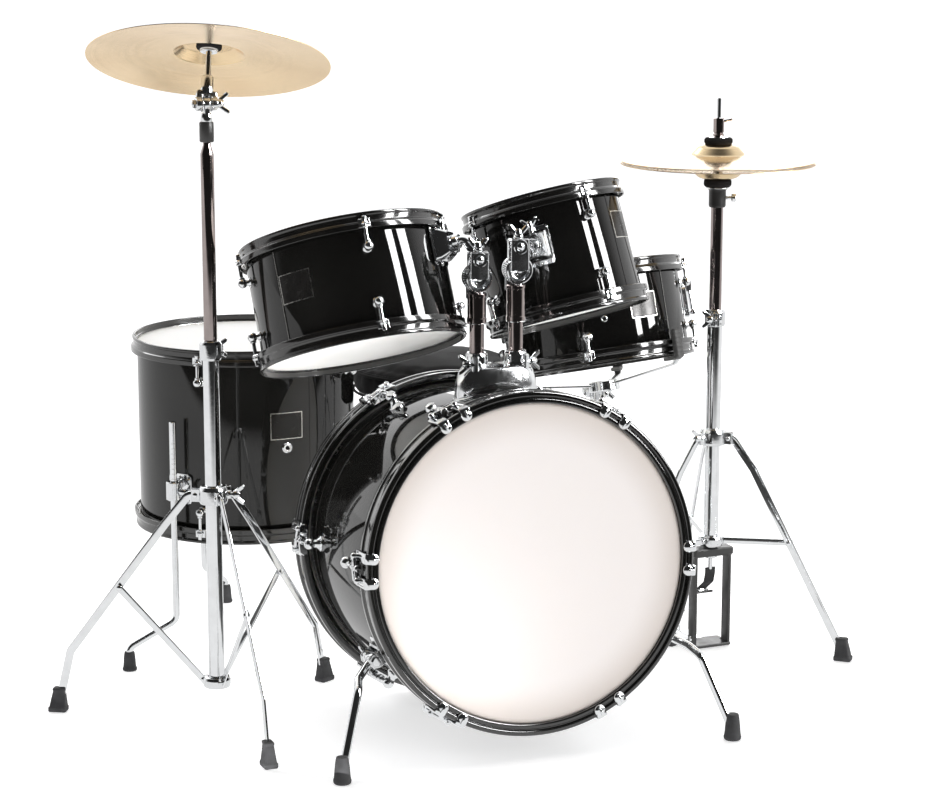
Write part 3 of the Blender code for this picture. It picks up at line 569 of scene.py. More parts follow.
class Piece:
    """Gathers closed shapes, each with a material, into one mesh."""

    def __init__(self, name, body, slot=None, replaces=(), local=None, angle=38):
        self.name, self.body, self.slot, self.rep, self.local, self.angle = name, body, slot, replaces, local, angle
        self.v, self.f, self.mi, self.mats, self.n = [], [], [], [], 0

    def add(self, mat, *geos):
        if mat not in self.mats:
            self.mats.append(mat)
        k = self.mats.index(mat)
        for v, f in geos:
            v = np.asarray(v, float)
            self.v.append(v)
            self.f += [tuple(i + self.n for i in q) for q in f]
            self.mi += [k] * len(f)
            self.n += len(v)
        return self

    def make(self):
        v = (np.concatenate(self.v) + SHIFT) * MM
        home = Matrix()
        if self.local is not None:
            home = Matrix(self.local)
            home.translation = (Vector(home.translation) + Vector(SHIFT)) * MM
            v = xf(home.inverted(), v)
        me = bpy.data.meshes.new(self.name)
        me.from_pydata([tuple(map(float, p)) for p in v], [], self.f)
        for m in self.mats:
            me.materials.append(m)
        me.polygons.foreach_set("material_index", self.mi)
        bm = bmesh.new()
        bm.from_mesh(me)
        bmesh.ops.recalc_face_normals(bm, faces=bm.faces[:])
        bm.to_mesh(me)
        bm.free()
        me.polygons.foreach_set("use_smooth", [True] * len(me.polygons))
        me.set_sharp_from_angle(angle=math.radians(self.angle))
        me.update()
        o = bpy.data.objects.new(self.name, me)
        scene.collection.objects.link(o)
        o.matrix_world = home
        bpy.context.view_layer.update()
        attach(o, self.body)
        if self.rep:
            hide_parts(*self.rep)
        return o


def V3(*a):
    return Vector(a)


def polar(az, r=1.0, z=0.0):
    return Vector((r * math.cos(math.radians(az)), r * math.sin(math.radians(az)), z))


def wing(m, span=13.0, height=14.0, t=3.4, hub=5.2, stem=0.0, stem_r=3.0):
    """A wing screw whose axis is local Z; the shank runs below the origin."""
    out = [lathe([(0, -0.2), (hub, -0.2), (hub + 0.3, 0.6), (hub * 0.82, 6.5), (hub * 0.62, 8.2), (0, 8.4)], m, 28)]
    if stem:
        out.append(lathe([(0, -stem), (stem_r, -stem), (stem_r, 0.3), (0, 0.3)], m, 20))
    for s in (-1, 1):
        ear = [(s * hub * 0.35, 0.8), (s * hub * 1.1, 1.6), (s * span * 0.80, height * 0.52), (s * span, height * 0.82), (s * span * 0.93, height), (s * span * 0.66, height * 0.96), (s * hub * 0.7, 7.2), (s * hub * 0.3, 7.0)]
        if s < 0:
            ear = ear[::-1]
        e = m @ Matrix.Rotation(math.pi / 2, 4, "X")
        out.append(plate(ear, t, e, b=1.0, r=1.6, k=3))
    return out


def patch(m, r, az0, az1, z0, z1, t, n=12):
    """A curved plate lying on a cylinder of radius r about m's Z."""
    a = np.radians(np.linspace(az0, az1, n + 1))
    V = []
    for rr in (r, r + t):
        for z in (z0, z1):
            V.append(np.stack([rr * np.cos(a), rr * np.sin(a), np.full(n + 1, float(z))], 1))
    V = np.concatenate(V)
    k = n + 1
    ib, it, ob, ot = 0, k, 2 * k, 3 * k
    F = []
    for j in range(n):
        F += [(ob + j, ob + j + 1, ot + j + 1, ot + j), (ib + j, it + j, it + j + 1, ib + j + 1),
              (ib + j, ib + j + 1, ob + j + 1, ob + j), (it + j, ot + j, ot + j + 1, it + j + 1)]
    F += [(ib, ob, ot, it), (ib + n, it + n, ot + n, ob + n)]
    return xf(m, V), F


# =============================================================================================== bass drum
TAU, BASS_LEN, BASS_R = 0.088, 321.0, 203.0
AX = Vector((0, math.cos(TAU), -math.sin(TAU)))
UP = Vector((0, math.sin(TAU), math.cos(TAU)))
BO = Vector((0, 0, 243.6))
BM = frame_matrix(BO, AX)
XV = Vector((1, 0, 0))


def bass(phi, r, s, off=0.0):
    """A point on the bass drum: off is a step along the rim, in mm."""
    f = math.radians(phi)
    out = XV * math.cos(f) + UP * math.sin(f)
    tan = -XV * math.sin(f) + UP * math.cos(f)
    return BO + AX * s + out * r + tan * off


def bass_dirs(phi):
    f = math.radians(phi)
    return XV * math.cos(f) + UP * math.sin(f), -XV * math.sin(f) + UP * math.cos(f)


sh = Piece("bass_shell_wrap", "kit", replaces=("bass_shell",), local=BM, angle=30)
sh.add(WRAP, lathe(rounded([(197.6, 7), (203, 7), (203, BASS_LEN - 7), (197.6, BASS_LEN - 7)], 0.8, 3, closed=True), BM, 200, closed=True))
sh.add(WOOD, lathe([(196.8, 8), (197.5, 8), (197.5, BASS_LEN - 8), (196.8, BASS_LEN - 8)], BM, 120, closed=True))
# the wrap's overlap seam, low on the drum
sh.add(WRAP, patch(BM @ Matrix.Rotation(0, 4, "Z"), 203.0, 92.0, 93.4, 8, BASS_LEN - 8, 0.35, 4))
sh.make()

LUG_PHI = [60 * k - 2.5 for k in range(6)]
lugs = Piece("bass_lugs_and_rods", "kit", slot="bass_shell")
for phi in LUG_PHI:
    out, tan = bass_dirs(phi)
    for flip in (False, True):
        S = (lambda v: BASS_LEN - v) if flip else (lambda v: v)
        if flip and abs(phi - 270 + 0) < 4:
            pass
        s0 = S(80.0)
        lugs.add(CHROME, lathe([(0, 0), (10.5, 0), (10.5, 1.4), (8.2, 2.6), (5.4, 6.5), (5.0, 12), (0, 12)], frame_matrix(bass(phi, 202.8, s0), out, AX), 32))
        lugs.add(CHROME, ball(bass(phi, 218.2, s0), 7.6, 28))
        lugs.add(CHROME, rod([bass(phi, 218.6, S(88)), bass(phi, 218.6, S(46))], 3.0, 18))
lugs.make()

# the two films, their collars and flesh rings
# the second colour of each film is painted shade for its outer band, by the hoop
HEAD_BASS = head_mat("film_cream", (0.74, 0.697, 0.678), (0.55, 0.49, 0.445), 0.203)
HEAD_BATTER = head_mat("film_white_batter", (0.84, 0.83, 0.80), (0.72, 0.69, 0.63), 0.203)
for tag, flip, mt in (("front", False, HEAD_BASS), ("batter", True, HEAD_BATTER)):
    S = (lambda v: BASS_LEN - v) if flip else (lambda v: v)
    prof = [(0, 5.5), (60, 5.5), (120, 5.5), (180, 5.5), (194, 5.5), (197.5, 5.5), (199.8, 6.0), (201.6, 7.4), (203.2, 10.0), (204.4, 14.0), (204.4, 15.8), (203.5, 15.8), (203.3, 13.0), (202.4, 9.5), (200.8, 7.2), (199.0, 6.4), (194, 6.3), (120, 6.3), (0, 6.3)]
    hd = Piece("bass_%s_film" % tag, "kit", replaces=("bass_%s_head" % tag,), local=BM, angle=30)
    hd.add(mt, lathe([(r, S(s)) for r, s in prof], BM, 180))
    hd.add(STEEL, lathe([(r, S(s)) for r, s in rounded([(204.6, 11.5), (206.2, 11.5), (206.2, 16.4), (204.6, 16.4)], 0.4, 2, closed=True)], BM, 140, closed=True))
    hd.make()

    # hoop: two rolled beads with a recessed waist, and an inner lip over the film
    prof = rounded([(200.8, 4.6), (200.8, 0.2), (206.6, 0.2), (207.2, 2.6), (208.9, 2.6), (209.5, -0.5), (216.0, -0.3), (216.2, 8.4), (214.0, 10.4), (214.0, 25.8), (216.2, 27.8), (216.2, 36.2), (207.0, 36.2), (207.0, 5.2), (203.0, 5.2)],
                   [0.3, 2.4, 2.4, 0.6, 0.6, 3.0, 3.6, 3.0, 2.0, 2.0, 3.0, 3.6, 1.0, 0.6, 0.3], 6, closed=True)
    hp = Piece("bass_%s_rim" % tag, "kit", replaces=("bass_%s_hoop" % tag,), local=BM, angle=50)
    hp.add(BHOOP, lathe([(r, S(s)) for r, s in prof], BM, 220, closed=True))
    hp.make()

    cl = Piece("bass_%s_claws" % tag, "kit", slot="bass_%s_hoop" % tag)
    turn = [24, -18, 20, -26, 18, -20]
    for i, phi in enumerate(LUG_PHI):
        out, tan = bass_dirs(phi)
        if flip and abs(phi - 237.5) < 40 and abs(phi - 270) < 5:
            continue
        for side in (-1, 1):
            o = side * 15.5
            dphi = math.degrees(o / 216.0)
            ro, rt = bass_dirs(phi + dphi)
            pth = [bass(phi + dphi, 209.0, S(-1.9)), bass(phi + dphi, 216.4, S(-2.3)), bass(phi + dphi, 218.9, S(0.8)), bass(phi + dphi, 218.6, S(9)), bass(phi + dphi, 217.6, S(30)), bass(phi + dphi, 218.2, S(39)), bass(phi + dphi * 0.55, 216.6, S(44.5))]
            cl.add(CHROME, strip(pth, rt, 13.0, 2.6, bend=[0, 2.5, 3, 3, 5, 4, 0], k=4, r=1.0))
            # the domed button that bears on the hoop's face, split by a slot
            mn = frame_matrix(bass(phi + dphi, 209.2, S(-1.0)), -AX if not flip else AX, rt)
            cl.add(CHROME, lathe([(0, -0.8), (7.0, -0.8), (7.4, 0.3), (7.0, 1.4), (5.8, 2.3), (3.6, 2.9), (0, 3.2)], mn, 36))
            cl.add(CHROME, strip([bass(phi + dphi, 203.4, S(-3.2)), bass(phi + dphi, 210.0, S(-5.4)), bass(phi + dphi, 216.0, S(-4.0))], rt, 2.4, 1.3, bend=4, r=0.4))
            cl.add(CHROME, ball(bass(phi + dphi, 218.4, S(6.0)), 3.6, 18, squash=0.5, axis=ro))
        yoke = frame_matrix(bass(phi, 215.8, S(43.6)), AX, tan)
        cl.add(CHROME, plate([(-19, -5.5), (19, -5.5), (21, 0), (17, 5.2), (6, 6.4), (-6, 6.4), (-17, 5.2), (-21, 0)], 3.6, yoke, b=0.8, r=2.0, k=3))
        cl.add(CHROME, cyl(bass(phi, 218.4, S(37)), bass(phi, 218.4, S(50)), 5.4, 26))
        # key rod: head, cross handle with ball ends
        c0 = bass(phi, 221.6, S(31.0))
        a = math.radians(turn[i])
        d = (tan * math.cos(a) + AX * (math.sin(a) * (-1 if flip else 1))).normalized()
        cl.add(CHROME, cyl(bass(phi, 219.6, S(26.5)), bass(phi, 219.6, S(38)), 4.4, 22))
        cl.add(CHROME, rod([c0 - d * 15.5, c0 + d * 15.5], 2.3, 16))
        cl.add(CHROME, ball(c0 - d * 16.0, 4.2, 20), ball(c0 + d * 16.0, 4.2, 20))
    cl.make()

# spurs: bracket on the shell, knuckle, bent leg and rubber foot
br = Piece("bass_spur_brackets", "kit", slot="bass_shell")
for sx, tag in ((-1, "left"), (1, "right")):
    phi = 90 - sx * 120
    out, tan = bass_dirs(phi)
    base = frame_matrix(bass(phi, 204.4, 70), out, AX)
    br.add(CHROME, plate([(-30, -15), (30, -15), (30, 15), (-30, 15)], 3.6, base, b=0.9, r=5, k=4))
    br.add(CHROME_SOFT, plate([(-21, -12.5), (17, -12.5), (17, 12.5), (-21, 12.5)], 9.0, frame_matrix(bass(phi, 209.5, 70), out, AX), b=2.0, r=3.5, k=4))
    for ds in (-25.5, 25.5):
        br.add(CHROME, rivet(bass(phi, 206.0, 70 + ds), out, 3.4, 2.0))
    p0 = bass(phi, 223.6, 66)
    for ds in (-18.5, 14.6):
        ear = [(-9, -12), (9, -12), (9.6, 0), (6.8, 6.8), (0, 9.6), (-6.8, 6.8), (-9.6, 0)]
        me_ = frame_matrix(p0 + AX * (ds + 1.6), AX, tan)
        if (me_.to_3x3() @ Vector((0, 1, 0))).dot(out) < 0:
            ear = [(x, -y) for x, y in ear][::-1]
        br.add(CHROME_SOFT, plate(ear, 3.4, me_, b=0.8, r=1.5, k=3))
    br.add(CHROME, hexnut(p0 - AX * 20.4, AX, 10.0, 4.0))
br.make()
for sx, tag in ((-1, "left"), (1, "right")):
    phi = 90 - sx * 120
    out, tan = bass_dirs(phi)
    p0 = bass(phi, 223.6, 66)
    sp = Piece("bass_spur_leg_" + tag, "spur_" + tag, replaces=("bass_spur_" + tag,))
    foot = Vector((sx * 260, -32, 0))
    path = [p0, Vector((sx * 222, 22, 112)), Vector((sx * 229, 0, 104)), Vector((sx * 260, -32, 12))]
    sp.add(CHROME, rod(path, 5.4, 22, bend=14, k=8))
    sp.add(CHROME_SOFT, cyl(p0 - AX * 14, p0 + AX * 14, 9.0, 32, ch=1.4))
    sp.add(CHROME, cyl(p0 + AX * 18.2, p0 + AX * 22.0, 5.6, 24))
    sp.add(CHROME, *wing(frame_matrix(p0 + AX * 21.5, AX, tan), 12.5, 13.0, 3.2, 5.0))
    tip = (Vector(path[3]) - Vector(path[2])).normalized()
    fm_ = frame_matrix(foot, (foot + Vector((0, 0, 1)) - foot))
    prof = [(0, 0), (9.8, 0), (11.0, 1.2), (11.4, 4.0), (10.6, 7.0), (10.2, 10), (9.4, 20), (8.0, 31), (7.2, 33.6), (5.5, 34), (0, 34)]
    sp.add(RUBBER, lathe(prof, fm_, 36))
    for z in (13.0, 17.0, 21.0):
        sp.add(RUBBER, ring(foot + Vector((0, 0, z)), foot + Vector((0, 0, z + 1.6)), 10.5 - z * 0.07, 7.5, 30, 0.4))
    sp.make()


# =============================================================================================== drums with flanged hoops
def drum_set(prefix, body, spec, lug_az, steps, heads, drop=44.0, hoopmat=HOOP):
    base, axis, h, rs = spec
    m = frame_matrix(base, axis)

    def at(az, r, z):
        return m @ polar(az, r, z)

    axis = Vector(axis).normalized()
    sh = Piece(prefix + "_wrap", body, replaces=(prefix + "_shell",), local=m, angle=30)
    sh.add(WRAP, lathe(rounded([(rs - 4.6, 10), (rs, 10), (rs, h - 10), (rs - 4.6, h - 10)], 0.7, 3, closed=True), m, steps, closed=True))
    sh.add(WOOD, lathe([(rs - 5.2, 10.5), (rs - 4.6, 10.5), (rs - 4.6, h - 10.5), (rs - 5.2, h - 10.5)], m, steps // 2, closed=True))
    lg = Piece(prefix + "_lugs", body, slot=prefix + "_shell")
    for low, tag in ((False, "top"), (True, "bottom")):
        zz = (lambda z: z) if low else (lambda z: h - z)
        hd = Piece("%s_%s_film" % (prefix, tag), body, replaces=("%s_%s_head" % (prefix, tag),), local=m, angle=30)
        prof = [(0, 8.9), (rs * 0.4, 8.9), (rs * 0.8, 8.9), (rs - 5.5, 8.9), (rs - 3.0, 9.0), (rs - 0.6, 9.6), (rs + 1.0, 11.2), (rs + 1.8, 13.6), (rs + 1.8, 16.6), (rs + 1.0, 16.6), (rs + 0.8, 13.4), (rs - 0.2, 11.0), (rs - 1.6, 9.9), (rs - 5.5, 9.6), (rs * 0.4, 9.6), (0, 9.6)]
        hd.add(heads[tag], lathe([(r, zz(z)) for r, z in prof], m, steps))
        hd.add(STEEL, lathe([(r, zz(z)) for r, z in rounded([(rs + 1.9, 9.2), (rs + 3.4, 9.2), (rs + 3.4, 14.5), (rs + 1.9, 14.5)], 0.4, 2, closed=True)], m, steps, closed=True))
        hd.make()
        prof = rounded([(rs + 3.0, 0.0), (rs + 6.7, 0.0), (rs + 6.7, 3.4), (rs + 5.3, 5.2), (rs + 5.2, 11.4), (rs + 6.6, 13.2), (rs + 8.6, 14.6), (rs + 8.8, 21.5), (rs + 7.0, 21.5), (rs + 6.8, 16.2), (rs + 4.0, 15.0), (rs + 3.7, 9.0), (rs + 2.4, 8.6), (rs + 2.4, 7.6), (rs + 3.4, 7.2)],
                       [1.0, 1.7, 1.5, 1.6, 1.8, 1.6, 2.0, 0.8, 0.8, 1.2, 1.0, 0.4, 0.3, 0.3, 0.5], 5, closed=True)
        hp = Piece("%s_%s_rim" % (prefix, tag), body, replaces=("%s_%s_hoop" % (prefix, tag),), local=m, angle=42)
        hp.add(hoopmat, lathe([(r, zz(z)) for r, z in prof], m, steps, closed=True))
        hp.make()
        u = 1.0 if low else -1.0
        for az in lug_az:
            out = (at(az, 1, 0) - at(az, 0, 0)).normalized()
            tan = (at(az + 90, 1, 0) - at(az, 0, 0)).normalized()
            z0 = zz(drop)
            # post with a round foot, ball nut, thin rod
            lg.add(CHROME, lathe([(0, 0), (6.6, 0), (6.6, 1.0), (5.6, 1.8), (3.7, 4.2), (3.2, 9.0), (0, 9.0)], frame_matrix(at(az, rs - 0.2, z0), out, axis), 28))
            lg.add(CHROME, ball(at(az, rs + 10.2, z0), 6.2, 26))
            lg.add(CHROME, ring(at(az, rs + 10.2, z0 - u * 7.2), at(az, rs + 10.2, z0 - u * 3.2), 3.9, 2.4, 24))
            lg.add(CHROME, rod([at(az, rs + 10.2, z0 - u * 1), at(az, rs + 10.2, zz(15.5))], 2.35, 18))
            # pressed ear that hooks on the flange, with the square-headed bolt through it
            zc = zz(19.6)
            ear = [(-9.5, -1.5), (9.5, -1.5), (8.0, 3.4), (3.4, 8.4), (0, 9.4), (-3.4, 8.4), (-8.0, 3.4)]
            me_ = frame_matrix(at(az, rs + 5.6, zc), axis, tan)
            if (me_.to_3x3() @ Vector((0, 1, 0))).dot(out) < 0:
                ear = [(x, -y) for x, y in ear][::-1]
            lg.add(CHROME, plate(ear, 2.6, me_, b=0.7, r=1.4, k=3))
            lg.add(CHROME, box((14.5, 2.0, 10.5), frame_matrix(at(az, rs + 9.0, zz(14.6)), axis, tan), b=0.6, r=0.5))
            lg.add(CHROME, lathe([(0, 0), (4.6, 0), (5.0, 0.8), (4.4, 2.2), (3.4, 3.0), (3.2, 5.4), (0, 5.4)], frame_matrix(at(az, rs + 10.2, zz(16.8)), -axis * u, tan), 26))
            lg.add(CHROME, box((5.0, 5.0, 5.6), frame_matrix(at(az, rs + 10.2, zz(9.2)), axis, tan), b=0.7, r=0.7))
    return m, at, sh, lg


TOM_L = (Vector((-151.8, 212.9, 480.2)), Vector((-0.075, 0.347, 0.935)), 158.0, 127.0)
TOM_R = (Vector((155.5, 276.0, 499.5)), Vector((-0.150, 0.290, 0.945)), 166.0, 101.6)
SNARE = (Vector((287.0, 482.0, 392.5)), Vector((-0.074, 0.240, 0.965)), 140.0, 127.0)
FLOOR = (Vector((-199.1, 613.1, 180.0)), Vector((0.0, 0.0, 1.0)), 268.7, 151.5)
# the second colour of each film is painted shade for its outer band, by the hoop
FILM_TOM = head_mat("film_white_tom", (0.94, 0.93, 0.90), (0.84, 0.82, 0.78), 0.127)
FILM_FLOOR = head_mat("film_white_floor", (0.93, 0.925, 0.91), (0.82, 0.80, 0.76), 0.152)
HEADS = {"top": FILM_TOM, "bottom": FILM_TOM}


def badge(sh, m, r, az, z, half_az, half_z):
    """A plain plate with a thin bright border, which carries no mark."""
    sh.add(BADGE_PLATE, patch(m, r - 0.1, az - half_az, az + half_az, z - half_z, z + half_z, 0.35, 16))
    lw = math.degrees(1.0 / r)
    for a0, a1, z0, z1 in ((az - half_az, az + half_az, z - half_z, z - half_z + 1.1), (az - half_az, az + half_az, z + half_z - 1.1, z + half_z),
                           (az - half_az, az - half_az + lw, z - half_z, z + half_z), (az + half_az - lw, az + half_az, z - half_z, z + half_z)):
        sh.add(BADGE_EDGE, patch(m, r, a0, a1, z0, z1, 0.5, 14))


def vent(sh, m, at, r, az, z, big=7.0):
    out = (at(az, 1, z) - at(az, 0, z)).normalized()
    sh.add(CHROME, lathe(rounded([(2.6, 0), (big, 0), (big, 1.2), (big * 0.72, 2.2), (2.6, 1.6)], 0.5, 3, closed=True), frame_matrix(at(az, r - 0.3, z), out, (0, 0, 1) if abs(out.z) < 0.9 else (1, 0, 0)), 32, closed=True))
    # a black felt plug in the vent hole: painted shade standing in for the dark inside of the shell
    sh.add(FELT_BLACK, cyl(at(az, r - 3.0, z), at(az, r + 0.5, z), 2.9, 20))


def bracket(lg, at, az, z, rs, out_len, w=36.0, hgt=42.0, top_wing=True):
    """A cast holder on a shell: curved foot plate, faceted body, round socket and its wing screw."""
    out = (at(az, 1, z) - at(az, 0, z)).normalized()
    axis = (at(0, 0, 1) - at(0, 0, 0)).normalized()
    tan = axis.cross(out)
    m = frame_matrix(at(az, rs, z), out, tan)
    lg.add(CHROME, plate([(-w * 0.58, -hgt * 0.62), (w * 0.58, -hgt * 0.62), (w * 0.58, hgt * 0.62), (-w * 0.58, hgt * 0.62)], 3.0, m @ T(0, 0, 1.2), b=0.9, r=6, k=5))
    # faceted body: three stacked outlines
    rows = []
    for d, s, sx in ((1.5, 1.0, 1.0), (out_len * 0.45, 0.96, 0.98), (out_len - 2.0, 0.74, 0.80), (out_len, 0.68, 0.74)):
        c = rounded([(-w / 2 * sx, -hgt / 2 * s), (w / 2 * sx, -hgt / 2 * s), (w / 2 * sx, hgt / 2 * s), (-w / 2 * sx, hgt / 2 * s)], 5.0, 4, closed=True)
        rows.append(np.array([[p[0], p[1], d] for p in c]))
    k = len(rows[0])
    V = np.concatenate(rows)
    F = [tuple(range(k))[::-1], tuple(range(3 * k, 4 * k))]
    for i in range(3):
        for j in range(k):
            a, b = i * k + j, i * k + (j + 1) % k
            F.append((a, b, b + k, a + k))
    lg.add(CHROME_SOFT, (xf(m, V), F))
    lg.add(CHROME, ring(at(az, rs + out_len - 1.5, z), at(az, rs + out_len + 1.2, z), 9.0, 6.0, 32))
    for sy in (-1, 1):
        lg.add(CHROME, rivet(m @ Vector((0, sy * hgt * 0.555, 2.6)), out, 3.0, 1.6))
    if top_wing:
        p = at(az, rs + out_len * 0.55, z + hgt / 2 - 2.0)
        lg.add(CHROME, *wing(frame_matrix(p + axis * 6.5, axis, tan), 11.5, 12.0, 3.0, 4.6, stem=7.0))
    return m


# left tom
mL, atL, shL, lgL = drum_set("left_tom", "left_tom", TOM_L, (-95, -5, 85, 175), 140, HEADS)
badge(shL, mL, 127.0, -140.0, 85.0, 10.4, 18.5)
shL.add(WRAP, patch(mL, 127.0, -151.2, -150.4, 10.5, 147.5, 0.45, 3))
shL.add(BADGE_EDGE, patch(mL, 127.0, -151.35, -151.2, 10.5, 147.5, 0.5, 1))
bracket(lgL, atL, -41.0, 112.0, 127.0, 20.0)
shL.make()
lgL.make()
# right tom
mR, atR, shR, lgR = drum_set("right_tom", "right_tom", TOM_R, (-80, 10, 100, 190), 128, HEADS)
badge(shR, mR, 101.6, -43.6, 104.0, 12.6, 18.0)
shR.add(WRAP, patch(mR, 101.6, -57.8, -56.9, 10.5, 155.5, 0.45, 3))
bracket(lgR, atR, -123.0, 96.0, 101.6, 20.0)
shR.make()
lgR.make()
# floor tom
HEADF = {"top": FILM_FLOOR, "bottom": FILM_FLOOR}
mF, atF, shF, lgF = drum_set("floor_tom", "kit", FLOOR, (-129, -39, 51, 141), 160, HEADF)
badge(shF, mF, 151.5, -84.0, 162.4, 8.8, 18.5)
vent(shF, mF, atF, 151.5, -84.0, 132.0, 7.4)
shF.add(WRAP, patch(mF, 151.5, -70.6, -70.0, 10.5, 258.2, 0.45, 3))
FLOOR_LEG_AZ, FLOOR_BEND_AZ, LEG_R = (218.0, 98.0, -22.0), (167.6, 47.6, -100.0), 168.0
for az in FLOOR_LEG_AZ:
    out, tan = polar(az), polar(az + 90)
    c = atF(az, LEG_R, 73)
    m = frame_matrix(atF(az, 151.5, 73), out, tan)
    lgF.add(CHROME, plate([(-19, -21), (19, -21), (19, 21), (-19, 21)], 2.8, m @ T(0, 0, 1.2), b=0.8, r=6, k=5))
    lgF.add(CHROME_SOFT, ring(c - Vector((0, 0, 13)), c + Vector((0, 0, 13)), 10.6, 5.4, 36, 1.2))
    for s in (-1, 1):
        lgF.add(CHROME_SOFT, box((5.0, 12.0, 24.0), frame_matrix(atF(az, 157.0, 73) + tan * (s * 7.6), Vector((0, 0, 1)), tan), b=1.0, r=1.4))
        lgF.add(CHROME, rivet(m @ Vector((0, s * 16.0, 2.4)), out, 2.8, 1.5))
    pw = c + tan * 9.8
    lgF.add(CHROME, *wing(frame_matrix(pw + tan * 3.0, tan, Vector((0, 0, 1))), 13.0, 14.0, 3.2, 5.2, stem=4.0))
shF.make()
lgF.make()
for i, az in enumerate(FLOOR_LEG_AZ):
    top = FLOOR[0] + polar(az, LEG_R)
    out = polar(FLOOR_BEND_AZ[i], 66.0)
    foot = Vector((top.x + out.x, top.y + out.y, 0))
    lp = Piece("floor_tom_leg_rod_%d" % (i + 1), "floor_leg_%d" % (i + 1), replaces=("floor_tom_leg_%d" % (i + 1),))
    lp.add(CHROME, rod([Vector((top.x, top.y, 349)), Vector((top.x, top.y, 70)), Vector((foot.x, foot.y, 32)), Vector((foot.x, foot.y, 9))], 4.85, 20, bend=14, k=8))
    for q in range(9):
        zq = 262.5 + q * 7.0
        if zq > 268:
            lp.add(CHROME, ring((top.x, top.y, zq), (top.x, top.y, zq + 1.0), 5.05, 4.0, 20, 0.3))
    prof = [(0, 0), (9.2, 0), (10.0, 1.0), (10.0, 3.4), (9.0, 5.0), (8.6, 9.0), (7.9, 20), (7.2, 25.0), (6.4, 26.6), (5.0, 26.8), (0, 26.8)]
    lp.add(RUBBER, lathe(prof, T(foot), 32))
    for z in (10.0, 13.5, 17.0):
        lp.add(RUBBER, ring(foot + Vector((0, 0, z)), foot + Vector((0, 0, z + 1.4)), 9.1 - z * 0.06, 6.5, 28, 0.4))
    lp.make()
# snare
mS, atS, shS, lgS = drum_set("snare", "snare", SNARE, (-118, -28, 62, 152), 140, HEADS, drop=40.0)
badge(shS, mS, 127.0, -78.5, 74.0, 9.6, 17.5)
shS.add(WRAP, patch(mS, 127.0, -60.9, -60.1, 10.5, 129.5, 0.45, 3))
shS.add(BADGE_EDGE, patch(mS, 127.0, -60.1, -59.95, 10.5, 129.5, 0.5, 1))
vent(shS, mS, atS, 127.0, -106.0, 62.0, 4.6)
# strainer body, butt plate, cords and the wires under the film
THR = -8.0
outT = (atS(THR, 1, 0) - atS(THR, 0, 0)).normalized()
tanT = (atS(THR + 90, 1, 0) - atS(THR, 0, 0)).normalized()
axS = SNARE[1].normalized()
mt_ = frame_matrix(atS(THR, 127.0, 70), outT, tanT)
lgS.add(CHROME, plate([(-13, -30), (13, -30), (13, 30), (-13, 30)], 3.0, mt_ @ T(0, 0, 1.3), b=0.8, r=4, k=4))
lgS.add(CHROME_SOFT, box((20, 44, 8.5), mt_ @ T(0, 3, 6.8), b=1.4, r=3.0))
lgS.add(CHROME, cyl(atS(THR, 135, 92), atS(THR, 135, 104), 5.0, 24), cyl(atS(THR, 135, 104), atS(THR, 135, 106), 6.4, 24))
for q in range(12):
    a = math.radians(30 * q)
    lgS.add(CHROME, rod([atS(THR, 135, 93.5) + (outT * math.cos(a) + tanT * math.sin(a)) * 5.0, atS(THR, 135, 103) + (outT * math.cos(a) + tanT * math.sin(a)) * 5.0], 0.5, 6))
mb_ = frame_matrix(atS(THR + 180, 127.0, 52), -outT, tanT)
lgS.add(CHROME, plate([(-12, -20), (12, -20), (12, 20), (-12, 20)], 3.0, mb_ @ T(0, 0, 1.3), b=0.8, r=4, k=4))
lgS.add(CHROME_SOFT, box((20, 16, 6.5), mb_ @ T(0, -8, 5.4), b=1.2, r=2.5))
wires = Piece("snare_wires", "snare", slot="snare_shell")
for q in range(12):
    off = -22 + q * 4.0
    a0 = SNARE[0] + axS * 7.6 + tanT * off + outT * 92
    a1 = SNARE[0] + axS * 7.6 + tanT * off - outT * 92
    wires.add(STEEL, rod([a0, a1], 0.7, 8))
for s in (-1, 1):
    c = SNARE[0] + axS * 7.4 + outT * (s * 96)
    wires.add(STEEL, box((9.0, 52.0, 1.4), frame_matrix(c, axS, outT), b=0.4, r=1.0))
    wires.add(NYLON, strip([c + axS * 0.0 + outT * (s * 3), c + outT * (s * 26.5) - axS * 0.2, c + outT * (s * 30.0) + axS * 1.0], tanT, 18.0, 0.6, bend=2, r=0.2))
wires.make()
shS.make()
lgS.make()
d_ = outT
q_ = atS(THR, 127 + 12 + 0.3 + 4, 58)
tw = Piece("snare_throwoff_lever", "throwoff", replaces=("snare_throwoff",))
tw.add(CHROME, cyl(q_ - tanT * 9, q_ + tanT * 9, 3.9, 24))
lev = [q_ + axS * 0 + d_ * 0.5, q_ + axS * 12 + d_ * 1.0, q_ + axS * 30 + d_ * 0.2, q_ + axS * 42 + d_ * 1.6, q_ + axS * 46.5 + d_ * 3.0]
tw.add(CHROME, strip(lev, tanT, 11.5, 3.6, bend=8, k=5, r=1.2))
tw.add(RUBBER, strip([q_ + axS * 30 + d_ * 0.4, q_ + axS * 44 + d_ * 2.4], tanT, 12.4, 5.2, bend=0, r=1.8))
tw.make()


